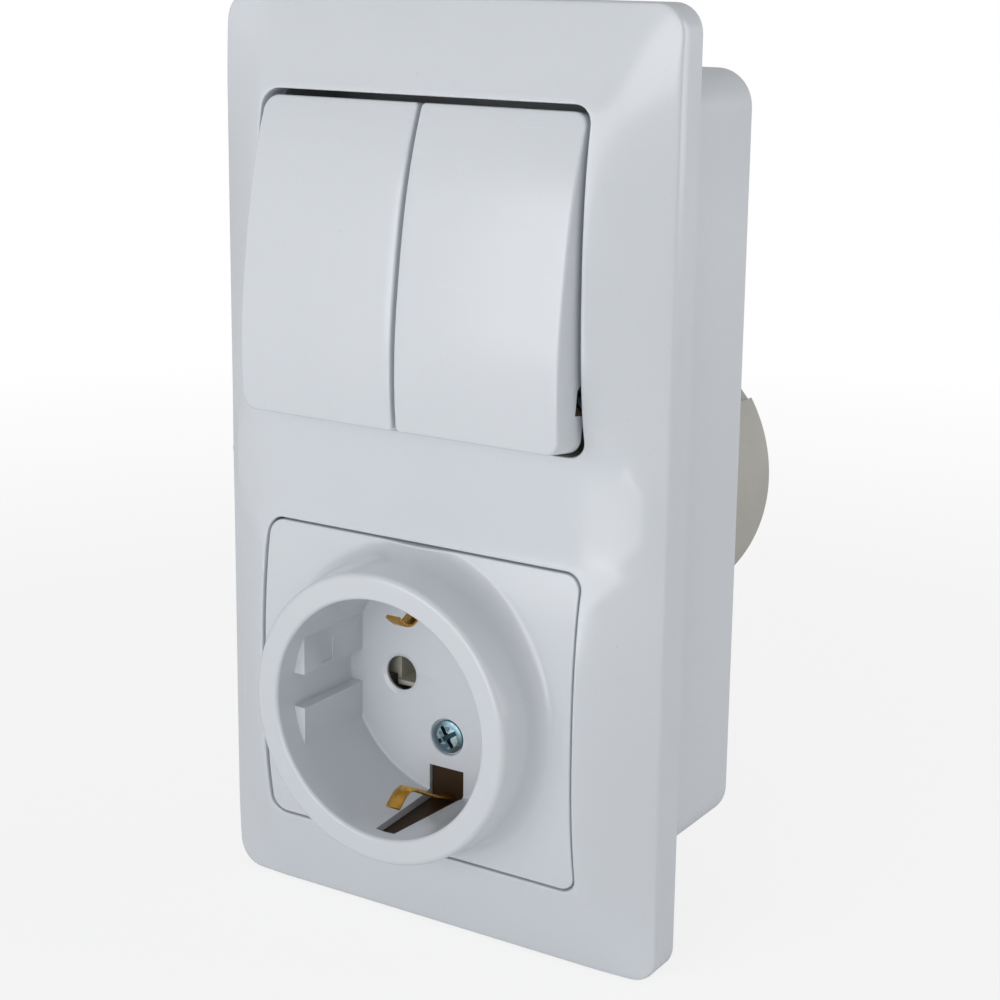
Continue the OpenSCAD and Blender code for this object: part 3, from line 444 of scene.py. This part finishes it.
def cover_points():
    """Rows of x, h, z from the well's floor over the rim to the plate's edge and back underneath.
    Inside FOOT_R the height is a concave quarter round that lands on the plate; outside it is the
    arch, a little lower than the frame's."""
    rim = outline(30.0, -26.1, 26.1, (2.6, 2.6, 2.6, 2.6), side=40, arc=9)
    angle = np.arctan2(rim[:, 1], rim[:, 0])
    ray = np.stack([np.cos(angle), np.sin(angle)], -1)
    ones = np.ones(len(rim))

    def turned(radius, height):
        """Rows of a turned surface: each radius and height carried round the well."""
        radius, height = np.asarray(radius, float)[:, None], np.asarray(height, float)[:, None]
        return radius * ray[:, 0], height * ones, radius * ray[:, 1]

    a = np.linspace(0, np.pi / 2, 7)
    fillet = 0.4
    floor = turned([0.0, 6, 12, 17, WELL_R - fillet], [FLOOR_H] * 5)
    corner = turned(WELL_R - fillet * (1 - np.sin(a[1:])), FLOOR_H + fillet * (1 - np.cos(a[1:])))
    wall = turned([WELL_R] * 5, np.linspace(FLOOR_H + 1, RIM_H - 0.7, 5))
    brow = turned(WELL_R + 0.7 * (1 - np.cos(a[1:])), RIM_H - 0.7 * (1 - np.sin(a[1:])))
    lip = turned([21.6, 22.4], [RIM_H, RIM_H])
    brim = turned(COLLAR_R - 1.0 * (1 - np.sin(a)), RIM_H - 1.0 * (1 - np.cos(a)))
    neck = turned([COLLAR_R + 0.2, COLLAR_R + 0.35], [20.5, 18.8])

    reach = np.linalg.norm(rim, axis=1)
    start = COLLAR_R + 0.5
    t = np.linspace(0, 1, 34)[:, None] ** 1.5
    edge = 0.3
    radius = start + (reach - edge - start) * t
    x, z = radius * ray[:, 0], radius * ray[:, 1]
    plate = arch(z) - 0.3
    lean = np.arcsin(np.clip((FOOT_R - radius) / (FOOT_R - start), 0, 1))
    landing = arch(FOOT_R * ray[:, 1] * np.ones_like(radius)) - 0.3
    flare = landing + (17.2 - landing) * (1 - np.cos(lean))
    h = np.where(radius < FOOT_R, flare, plate)
    ex = (reach - edge * (1 - np.sin(a[1:]))[:, None]) * ray[:, 0]
    ez = (reach - edge * (1 - np.sin(a[1:]))[:, None]) * ray[:, 1]
    eh = (h[-1] - edge * (1 - np.cos(a[1:]))[:, None])
    skirt = turned([1.0], [COVER_LOW])
    sx, sz = reach * ray[:, 0], reach * ray[:, 1]
    under = turned([21.75, 21.75, 10, 0.0], [COVER_LOW, 0.7, 0.7, 0.7])
    parts = [floor, corner, wall, brow, lip, brim, neck, (x, h, z), (ex, eh, ez),
             (sx[None], skirt[1], sz[None]), under]
    return [np.concatenate([part[k] for part in parts]) for k in range(3)]


def post(name, x, z, rings, sides=64):
    """A closed turned shape along the height axis at x, z: rings of radius and height, the first
    and the last with radius 0, for cutting."""
    rings = np.asarray(rings, float)
    turn = np.linspace(0, 2 * np.pi, sides, endpoint=False)
    px = x + rings[:, :1] * np.cos(turn)
    pz = z + rings[:, :1] * np.sin(turn)
    mesh = mesh_of(name, in_metres(px, rings[:, 1:], pz).reshape(-1, 3),
                   grid_faces(len(rings), sides, True))
    tidy(mesh)
    return mesh


def block(name, low, high, top_half=None):
    """A closed box from low to high corners of x, h, z; top_half narrows its front end to that
    half width, for a slot that tapers."""
    (x0, h0, z0), (x1, h1, z1) = low, high
    tx0, tx1 = (x0, x1) if top_half is None else (-top_half, top_half)
    xs = np.array([x0, x1, x1, x0, tx0, tx1, tx1, tx0])
    hs = np.array([h0] * 4 + [h1] * 4)
    zs = np.array([z0, z0, z1, z1, z0, z0, z1, z1])
    mesh = bpy.data.meshes.new(name)
    mesh.from_pydata(in_metres(xs, hs, zs).tolist(), [],
                     [(0, 3, 2, 1), (4, 5, 6, 7), (0, 1, 5, 4), (1, 2, 6, 5), (2, 3, 7, 6),
                      (3, 0, 4, 7)])
    tidy(mesh)
    return mesh


# %% Cover: grid, ribs, cuts
cx, ch, cz = cover_points()
cover_mesh = mesh_of("socket_face", in_metres(cx, ch, cz + SOCKET_Z).reshape(-1, 3),
                     grid_faces(len(cx), cx.shape[1], closed=True))
tidy(cover_mesh)

ribs = [block("rib", (min(s * 17.4, s * 20.6), 1.6, SOCKET_Z + min(v * 2.9, v * 9.7)),
              (max(s * 17.4, s * 20.6), 18.8, SOCKET_Z + max(v * 2.9, v * 9.7)))
        for s in (-1, 1) for v in (-1, 1)]
pin_rings = [(0, -1), (3.9, -1), (3.9, 1.7), (3, 1.9), (3, 2.3), (3.5, 2.62), (4.1, 2.8), (0, 2.8)]
cuts = [post("pin", s * 9.5, SOCKET_Z, pin_rings) for s in (-1, 1)]
cuts.append(post("seat", 0, SCREW_Z, [(0, -1), (1.9, -1), (1.9, 1.7), (3.2, 1.7), (3.2, 2.5),
                                      (3.4, 2.8), (0, 2.8)]))
for v in (-1, 1):
    near, far = SOCKET_Z + v * 14.85, SOCKET_Z + v * 20.0
    cuts.append(block("floor_slot", (-3.4, -0.5, min(near, far)), (3.4, 3.6, max(near, far))))
    near, far = SOCKET_Z + v * 18.0, SOCKET_Z + v * 21.05
    cuts.append(block("wall_slot", (-3.4, 1.0, min(near, far)), (3.4, 20.5, max(near, far)),
                      top_half=1.85))
cuts.append(block("rib_pocket", (-17.52, 11.1, SOCKET_Z + 3.6), (-17.0, 14.1, SOCKET_Z + 7.4)))
cover_mesh = carve(cover_mesh, cuts, join=ribs)
shade(cover_mesh, 32)
socket_face = piece("socket_face", cover_mesh, "base", "white_plastic", "socket_cover")
print("cover:", len(cover_mesh.polygons), "faces")

# %% [markdown]
# ## Earth clips
#
# The two clips are bent from one strip of spring brass. A strip is a rectangle carried along a
# path, so the path is typed as a few bends and smoothed by a spline through them.

# %% Clips
def smooth_path(knots, count):
    """A curve through the knots: a Catmull-Rom spline, which mixes four neighbours with cubic
    weights of the place between the middle two."""
    k = np.asarray(knots, float)
    k = np.concatenate([2 * k[:1] - k[1:2], k, 2 * k[-1:] - k[-2:-1]])
    s = np.linspace(0, len(knots) - 1, count, endpoint=True)
    i = np.clip(s.astype(int), 0, len(knots) - 2)
    t = (s - i)[:, None]
    p0, p1, p2, p3 = k[i], k[i + 1], k[i + 2], k[i + 3]
    return 0.5 * (2 * p1 + (p2 - p0) * t + (2 * p0 - 5 * p1 + 4 * p2 - p3) * t ** 2
                  + (3 * p1 - p0 - 3 * p2 + p3) * t ** 3)


def strip(knots, half_width, thick, x_mid=0.0, count=48):
    """A bent strip: the path in height and z, its section a rectangle of twice the half width
    by the thickness, set off square to the path."""
    path = smooth_path(knots, count)
    along = np.gradient(path, axis=0)
    along /= np.linalg.norm(along, axis=1, keepdims=True)
    off = np.stack([-along[:, 1], along[:, 0]], -1) * thick / 2
    wide = np.broadcast_to(half_width, (count,))[:, None]
    soft = min(thick, 0.7) * 0.25
    section_x = np.concatenate([-wide, -wide + soft, wide - soft, wide,
                                wide, wide - soft, -wide + soft, -wide], 1)
    lift = np.array([-1 + 0.5, -1, -1, -1 + 0.5, 1 - 0.5, 1, 1, 1 - 0.5])
    h = path[:, :1] + off[:, :1] * lift
    z = path[:, 1:] + off[:, 1:] * lift
    points = in_metres(section_x + x_mid, h, z + SOCKET_Z)
    faces = grid_faces(count, 8, closed=True)
    ends = np.array([[0, 1, 2, 3], [0, 3, 4, 7], [4, 5, 6, 7]])
    caps = np.concatenate([ends, ends + (count - 1) * 8])
    return points.reshape(-1, 3), np.concatenate([faces, caps])


lower_knots = [(-1.2, -20.6), (2.7, -20.1), (6.6, -18.4), (8.6, -17.4), (11.1, -16.0), (13.4, -14.75),
               (14.6, -14.4), (16.0, -14.7), (17.2, -15.5), (18.3, -16.4)]
upper_knots = [(h, -z - 0.5) for h, z in lower_knots]
made = [strip(lower_knots, 1.35, 0.6), strip(upper_knots, 1.35, 0.6)]
counts = np.cumsum([0] + [len(p) for p, f in made])
clip_mesh = mesh_of("clips", np.concatenate([p for p, f in made]),
                    np.concatenate([f + n for (p, f), n in zip(made, counts)]))
tidy(clip_mesh)
shade(clip_mesh, 50)
clips = piece("earth_clips", clip_mesh, "base", "brass_strip")
print("clips:", len(clip_mesh.vertices), "points")

# %% [markdown]
# The rest of the earth strap is coloured a near-black brown as painted shade. Its flat run lies behind
# the well's floor, and behind each slot stand thin dark plates, one behind the wall slot and one under
# the floor slot, put there as painted shade, which makes the slots look dark. The run is already right
# as a solid, so a merged copy of it is cut off where the thick clips began, and thin plates are joined
# on. The solid itself stays as it is and is only hidden.

# %% Strap body
def shade_plate_behind_slot(level):
    """A closed thin dark plate behind a wall slot, put there as painted shade: a trapezoid of x and
    height, 0.2 mm thick in z.
    """
    x = np.array([-3.35, 3.35, 1.8, -1.8])
    h = np.array([-0.3, -0.3, 20.4, 20.4])
    z = np.array([20.8, 21.0])[:, None] * level + SOCKET_Z
    points = in_metres(x[None, :], h[None, :], z)
    mesh = mesh_of("shade_plate_behind_slot", points.reshape(-1, 3), [(0, 1, 2, 3), (7, 6, 5, 4), (0, 4, 5, 1),
                                                  (1, 5, 6, 2), (2, 6, 7, 3), (3, 7, 4, 0)])
    tidy(mesh)
    return mesh


def shade_plate_under_slot(level):
    """A closed dark plate just under a floor slot, put there as painted shade, reaching inwards from
    the plate behind the wall slot.
    """
    near, far = sorted((SOCKET_Z + level * 14.5, SOCKET_Z + level * 20.9))
    return block("shade_plate_under_slot", (-3.38, 1.7, near), (3.38, 1.95, far))


run = frame["nodes"]["earth_strap"].data.copy()
tidy(run)
run = carve(run, [block("front", (-30, 0.72, SOCKET_Z - 25), (30, 25, SOCKET_Z + 25))])
# Dark plates behind and under each slot are joined on as painted shade.
strap_mesh = carve(run, [], join=[shade_plate_behind_slot(-1), shade_plate_behind_slot(1), shade_plate_under_slot(-1), shade_plate_under_slot(1)])
shade(strap_mesh, 40)
strap_body = piece("strap_body", strap_mesh, "base", "browned_strip", "earth_strap")
print("strap body:", len(strap_mesh.polygons), "faces")

# %% [markdown]
# ## The cover screw
#
# Its head is a shallow dome with a star-shaped cross recess. The recess is cut by a cone, two deep
# bars and two fine ones between them, which is what the driver's tip looks like.

# %% Cover screw
def bar(length, width, depth, turn, top=3.2):
    """A closed bar across the screw's middle, turned in the face's plane by an angle."""
    u, v = length / 2, width / 2
    c, q = math.cos(turn), math.sin(turn)
    x = np.array([-u, u, u, -u]) * c - np.array([-v, -v, v, v]) * q
    z = np.array([-u, u, u, -u]) * q + np.array([-v, -v, v, v]) * c + SCREW_Z
    points = in_metres(np.tile(x, 2), np.repeat([top - depth, top], 4), np.tile(z, 2))
    mesh = bpy.data.meshes.new("bar")
    mesh.from_pydata(points.tolist(), [], [(0, 3, 2, 1), (4, 5, 6, 7), (0, 1, 5, 4), (1, 2, 6, 5),
                                           (2, 3, 7, 6), (3, 0, 4, 7)])
    tidy(mesh)
    return mesh


slope = np.linspace(0, np.pi / 2, 9)
dome = [(2.85 * math.cos(a), 2.3 + 0.42 * math.sin(a)) for a in slope[:-1]] + [(0, 2.72)]
shank = [(0, -8), (1.7, -8), (1.7, 1.72), (2.7, 1.72), (2.85, 1.9)]
head = post("cover_screw", 0, SCREW_Z, shank + dome)
deep = [bar(4.1, 0.8, 1.6, math.radians(turn)) for turn in (32, 122)]
fine = [bar(4.2, 0.2, 0.6, math.radians(turn)) for turn in (77, 167)]
cone = post("cone", 0, SCREW_Z, [(0, 1.6), (1.0, 2.9), (0, 2.9)], sides=8)
screw_mesh = carve(head, deep + fine + [cone])
shade(screw_mesh, 30)
cover_screw = piece("cover_screw_head", screw_mesh, "base", "zinc_steel", "cover_screw")
print("screw:", len(screw_mesh.polygons), "faces")

# %% [markdown]
# ## A small language for materials
#
# A material is a network of nodes. Written out, each sum or product takes several lines, so one
# class stands for an output and turns Python's own signs into Math nodes. One method adds any
# other node. With these, a finish reads almost like its description.

# %% Shader helpers
class Out:
    """One output of a node. Its arithmetic adds Math nodes to the same tree."""

    def __init__(self, sheet, socket):
        self.sheet, self.socket = sheet, socket

    def math(self, operation, *others):
        return self.sheet.add("ShaderNodeMath", {"operation": operation},
                              {n: v for n, v in enumerate([self, *others])})

    def __add__(self, other): return self.math("ADD", other)
    def __radd__(self, other): return self.math("ADD", other)
    def __mul__(self, other): return self.math("MULTIPLY", other)
    def __rmul__(self, other): return self.math("MULTIPLY", other)
    def __sub__(self, other): return self.math("SUBTRACT", other)
    def __rsub__(self, other): return (self * -1.0).math("ADD", other)
    def __truediv__(self, other): return self.math("DIVIDE", other)
    def __pow__(self, other): return self.math("POWER", other)

    def clamp(self, low=0.0, high=1.0):
        return self.math("MAXIMUM", low).math("MINIMUM", high)


class Sheet:
    """A material being written. add() makes a node: its type, its settings, then its inputs."""

    def __init__(self, name):
        self.material = bpy.data.materials.new(name)
        self.material.use_nodes = True
        self.tree = self.material.node_tree
        self.tree.nodes.clear()

    def add(self, kind, settings=None, inputs=None, out=0):
        node = self.tree.nodes.new(kind)
        for key, value in (settings or {}).items():
            setattr(node, key, value)
        for key, value in (inputs or {}).items():
            if isinstance(value, Out):
                self.tree.links.new(value.socket, node.inputs[key])
            else:
                node.inputs[key].default_value = value
        return Out(self, node.outputs[out]) if len(node.outputs) else None

    def place(self, scale=(1, 1, 1)):
        """Object coordinates in millimetres, stretched by a scale on each axis."""
        here = self.add("ShaderNodeTexCoord", out="Object")
        return self.add("ShaderNodeMapping", {}, {"Vector": here, "Scale": [1000 * s for s in scale]})

    def noise(self, size, detail=3.0, rough=0.5, stretch=(1, 1, 1)):
        """A soft random pattern from 0 to 1 whose features are about size millimetres."""
        return self.add("ShaderNodeTexNoise", {},
                        {"Vector": self.place([s / size for s in stretch]), "Scale": 1.0,
                         "Detail": detail, "Roughness": rough})

    def mix(self, amount, first, second):
        """A colour between two colours."""
        return self.add("ShaderNodeMix", {"data_type": "RGBA"}, {0: amount, 6: first, 7: second}, out=2)

    def bump(self, height, depth_mm):
        """A normal from a height pattern of the given depth."""
        return self.add("ShaderNodeBump", {}, {"Height": height, "Strength": 1.0,
                                               "Distance": depth_mm / 1000})

    def shader(self, inputs):
        """The surface itself and the material's output."""
        surface = self.add("ShaderNodeBsdfPrincipled", {}, inputs)
        self.add("ShaderNodeOutputMaterial", {}, {"Surface": surface})
        return self.material


# %% [markdown]
# ## Finishes
#
# The visible mouldings are glossy white with a cool cast. Real gloss is never perfect: the face
# waves a little where the plastic shrank, it holds fine dust and hair-thin scratches, and handling
# has dulled it in patches. Each of these is a quiet pattern at its own scale in colour, roughness
# and bump.

# %% White moulded plastic
def white_moulding():
    """Glossy white: patches of slightly darker colour about 14 mm across, specks of dust about half
    a millimetre wide, hair scratches along two ways, and a slow wave in the surface."""
    s = Sheet("white_moulding")
    patches = s.noise(14.0, 2.0)
    grime = s.noise(2.2, 4.0, 0.6)
    specks = ((s.noise(0.55, 1.0) - 0.735) * 14.0).clamp()
    scratch_a = ((s.noise(0.5, 2.0, stretch=(0.02, 1, 1)) - 0.72) * 9.0).clamp()
    scratch_b = ((s.noise(0.5, 2.0, stretch=(1, 1, 0.025)) - 0.73) * 9.0).clamp()
    scratches = (scratch_a + scratch_b).clamp()
    colour = s.mix((patches * 0.6 + grime * 0.4), (0.700, 0.728, 0.765, 1), (0.665, 0.695, 0.735, 1))
    colour = s.mix(specks * 0.3, colour, (0.33, 0.32, 0.31, 1))
    rough = (0.16 + patches * 0.05 + grime * 0.04 + scratches * 0.12 + specks * 0.2).clamp(0.05, 0.6)
    wave = s.bump(s.noise(11.0, 1.0) + scratches * -0.05, 0.035)
    return s.shader({"Base Color": colour, "Roughness": rough, "Normal": wave, "IOR": 1.5,
                     "Coat Weight": 0.3, "Coat Roughness": 0.15})


# %% Plainer plastics
def dull_moulding(name, colour, shade_colour, size):
    """Satin plastic: fine grain from spark-eroded moulds, cloudy colour, scuffs."""
    s = Sheet(name)
    cloud = s.noise(size, 3.0)
    grain = s.noise(0.25, 2.0)
    scuff = ((s.noise(1.2, 3.0, stretch=(1, 0.2, 1)) - 0.62) * 5.0).clamp()
    tint = s.mix(cloud, colour, shade_colour)
    tint = s.mix(scuff * 0.25, tint, [min(1.0, c * 1.35) for c in colour[:3]] + [1])
    return s.shader({"Base Color": tint, "Roughness": (0.42 + cloud * 0.12 + scuff * 0.15).clamp(),
                     "Normal": s.bump(grain * 0.6 + scuff * 0.4, 0.012), "IOR": 1.5})


# %% [markdown]
# The clips are punched from brass strip and have gone a little orange in patches. The screws are
# steel with a blue zinc skin, which is why the one in the well looks teal. Both are full metals:
# their colour is the colour of what they mirror, so roughness does most of the work.

# %% Metals
def rolled_brass():
    """Brass strip: rolling lines along its length, darker orange tarnish in patches."""
    s = Sheet("rolled_brass")
    lines = s.noise(0.35, 3.0, stretch=(1, 0.05, 0.05))
    tarnish = ((s.noise(2.0, 3.0) - 0.4) * 2.2).clamp()
    colour = s.mix(tarnish, (0.78, 0.44, 0.09, 1), (0.50, 0.22, 0.03, 1))
    return s.shader({"Base Color": colour, "Metallic": 1.0,
                     "Roughness": (0.2 + lines * 0.14 + tarnish * 0.16).clamp(),
                     "Normal": s.bump(lines, 0.008)})


def dull_strip(name, colour, worn, metallic, rough):
    """Strip whose skin has gone dull: a cloudy colour, scratches along it, an uneven sheen."""
    s = Sheet(name)
    cloud = s.noise(1.5, 3.0)
    lines = ((s.noise(0.4, 2.0, stretch=(1, 0.1, 0.1)) - 0.58) * 5.0).clamp()
    tint = s.mix((cloud * 0.5 + lines * 0.5).clamp(), colour, worn)
    return s.shader({"Base Color": tint, "Metallic": metallic, "Specular IOR Level": 0.2,
                     "Roughness": (rough + cloud * 0.15).clamp(),
                     "Normal": s.bump(lines, 0.006)})


def blue_zinc():
    """Zinc-plated steel: a blue-green cast that drifts, fine grain, small bright wear. Round the
    cross of the cover screw, within 2 mm of its axis, bright patches on the top are a painted
    highlight, and the recess itself is painted darker as painted shade."""
    s = Sheet("blue_zinc")
    drift = s.noise(1.6, 2.0)
    grain = s.noise(0.12, 2.0)
    wear = ((s.noise(0.6, 3.0) - 0.6) * 6.0).clamp()
    colour = s.mix(drift, (0.14, 0.25, 0.29, 1), (0.23, 0.36, 0.42, 1))
    colour = s.mix(wear * 0.6, colour, (0.62, 0.78, 0.84, 1))
    here = s.place()
    top = ((s.add("ShaderNodeSeparateXYZ", {}, {0: here}, out="Y") + 24.45) * -8.0).clamp()
    arm = s.add("ShaderNodeVectorMath", {"operation": "SUBTRACT"},
                {0: here, 1: (0, 0, SCREW_Z + FRAME_Z)})
    arm = s.add("ShaderNodeVectorMath", {"operation": "MULTIPLY"}, {0: arm, 1: (1, 0, 1)})
    away = s.add("ShaderNodeVectorMath", {"operation": "LENGTH"}, {0: arm}, out="Value")
    near = ((2.15 - away) * 5.0).clamp()
    # Bright patches on the head's top round the cross: a painted highlight.
    painted_highlight = near * top * ((s.noise(0.9, 1.0) - 0.42) * 9.0).clamp()
    colour = s.mix(painted_highlight * 0.85, colour, (0.72, 0.85, 0.90, 1))
    # The recess round the cross, darkened: painted shade.
    colour = s.mix(near * (1.0 - top) * 0.8, colour, (0.02, 0.09, 0.11, 1))
    return s.shader({"Base Color": colour, "Metallic": 1.0,
                     "Roughness": (0.2 + grain * 0.12 + drift * 0.08).clamp(),
                     "Normal": s.bump(grain, 0.006)})


finishes = {
    "white_plastic": white_moulding(),
    "beige_plastic": dull_moulding("beige_moulding", (0.42, 0.36, 0.27, 1),
                                   (0.35, 0.30, 0.22, 1), 6.0),
    "grey_beige_plastic": dull_moulding("cup_moulding", (0.50, 0.485, 0.44, 1),
                                        (0.43, 0.415, 0.37, 1), 9.0),
    "brass_strip": rolled_brass(),
    "tinned_strip": dull_strip("tinned_strip", (0.72, 0.71, 0.62, 1),
                               (0.80, 0.79, 0.70, 1), 0.3, 0.4),
    # Near-black brown for the strap and the plates behind the slots: painted shade.
    "browned_strip": dull_strip("browned_strip", (0.036, 0.019, 0.008, 1),
                                (0.062, 0.034, 0.014, 1), 0.0, 0.45),
    "zinc_steel": blue_zinc(),
}
print("finishes:", ", ".join(finishes))

# %% Put the finishes on
slot_of = {part["node"]: part["material_slot"] for part in frame["record"]["subparts"]}
for name, solid in frame["nodes"].items():
    solid.data.materials.clear()
    solid.data.materials.append(finishes[slot_of[name]])
for shown in (frame_face, cap_left, cap_right, socket_face):
    shown.data.materials.clear()
    shown.data.materials.append(finishes["white_plastic"])
clips.data.materials.append(finishes["brass_strip"])
strap_body.data.materials.clear()
strap_body.data.materials.append(finishes["browned_strip"])
cover_screw.data.materials.clear()
cover_screw.data.materials.append(finishes["zinc_steel"])
print("dressed:", len(slot_of), "solids and 7 new pieces")

# %% [markdown]
# ## Floor and light
#
# The photograph has a white ground and very even light, with one large soft source in front and a
# darker right side, which the glossy borders show as a slow change of tone. A white world would
# flatten everything, so the world is pale grey, and area lamps shape it: a wide one in front, a weak
# one on the left, one behind on the right for the side walls, and a small card that the curved edge
# of the bridge mirrors. For the camera the ground is mixed with the white of the background.

# %% Floor
def ground_finish():
    """Pale matt floor. Light sees a faintly mottled near-white. The camera sees it mixed with the
    same white as the background, the more the further off, so no horizon shows, while the shadow
    near the unit stays."""
    s = Sheet("studio_ground")
    mottle = s.noise(60.0, 2.0)
    surface = s.add("ShaderNodeBsdfPrincipled", {}, {
        "Base Color": s.mix(mottle, (0.93, 0.93, 0.93, 1), (0.91, 0.91, 0.92, 1)), "Roughness": 0.7})
    white = s.add("ShaderNodeEmission", {}, {"Color": (1, 1, 1, 1), "Strength": 1.0})
    seen = s.add("ShaderNodeLightPath", out="Is Camera Ray")
    away = s.add("ShaderNodeVectorMath", {"operation": "LENGTH"}, {0: s.place()}, out="Value")
    blend = s.add("ShaderNodeMixShader", {}, {
        0: seen * (0.8 + (away - 180.0) / 1500.0).clamp(0.8, 1.0), 1: surface, 2: white})
    s.add("ShaderNodeOutputMaterial", {}, {"Surface": blend})
    return s.material


ground_z = -(HALF_H - FRAME_Z) - 0.2
floor_mesh = bpy.data.meshes.new("studio_floor")
span = 3000.0
floor_points = np.array([(-span, -span), (span, -span), (span, span), (-span, span)])
floor_points = np.concatenate([floor_points, np.full((4, 1), ground_z)], 1)
floor_mesh.from_pydata((floor_points / 1000).tolist(), [], [(0, 1, 2, 3)])
floor_mesh.materials.append(ground_finish())
studio_floor = bpy.data.objects.new("studio_floor", floor_mesh)
bpy.context.scene.collection.objects.link(studio_floor)

# %% World and lamps
world = bpy.data.worlds.new("studio")
bpy.context.scene.world = world
world.use_nodes = True
nodes, links = world.node_tree.nodes, world.node_tree.links
nodes.clear()
path = nodes.new("ShaderNodeLightPath")
seen = nodes.new("ShaderNodeBackground")
seen.inputs[0].default_value, seen.inputs[1].default_value = (1, 1, 1, 1), 1.0
lit = nodes.new("ShaderNodeBackground")
lit.inputs[0].default_value, lit.inputs[1].default_value = (0.985, 0.995, 1.0, 1), 0.43
either = nodes.new("ShaderNodeMixShader")
out = nodes.new("ShaderNodeOutputWorld")
links.new(path.outputs["Is Camera Ray"], either.inputs[0])
links.new(lit.outputs[0], either.inputs[1])
links.new(seen.outputs[0], either.inputs[2])
links.new(either.outputs[0], out.inputs[0])


def lamp(name, place, width, height, watts, aim=(0, -30, 10)):
    """A soft area lamp at a place, turned to its aim; lengths and places are in millimetres. It
    lights and is mirrored, but the camera doesn't see it."""
    data = bpy.data.lights.new(name, "AREA")
    data.shape, data.size, data.size_y, data.energy = "RECTANGLE", width / 1000, height / 1000, watts
    made = bpy.data.objects.new(name, data)
    made.location = Vector(place) / 1000
    made.rotation_mode = "QUATERNION"
    made.rotation_quaternion = (Vector(aim) - Vector(place)).to_track_quat("-Z", "Y")
    made.visible_camera = False
    bpy.context.scene.collection.objects.link(made)
    return made


lamp("key", (-60, -900, 120), 900, 500, 3.2)
lamp("left", (-640, -600, 160), 700, 560, 0.35)
lamp("side", (820, 640, 260), 800, 800, 3.45)
lamp("card", (45, -370, -65), 240, 360, 0.95, aim=(45, -365, 10))
view = bpy.context.scene.view_settings
view.view_transform = "Standard"
print("lamps: 4, floor at", round(ground_z, 2), "mm")
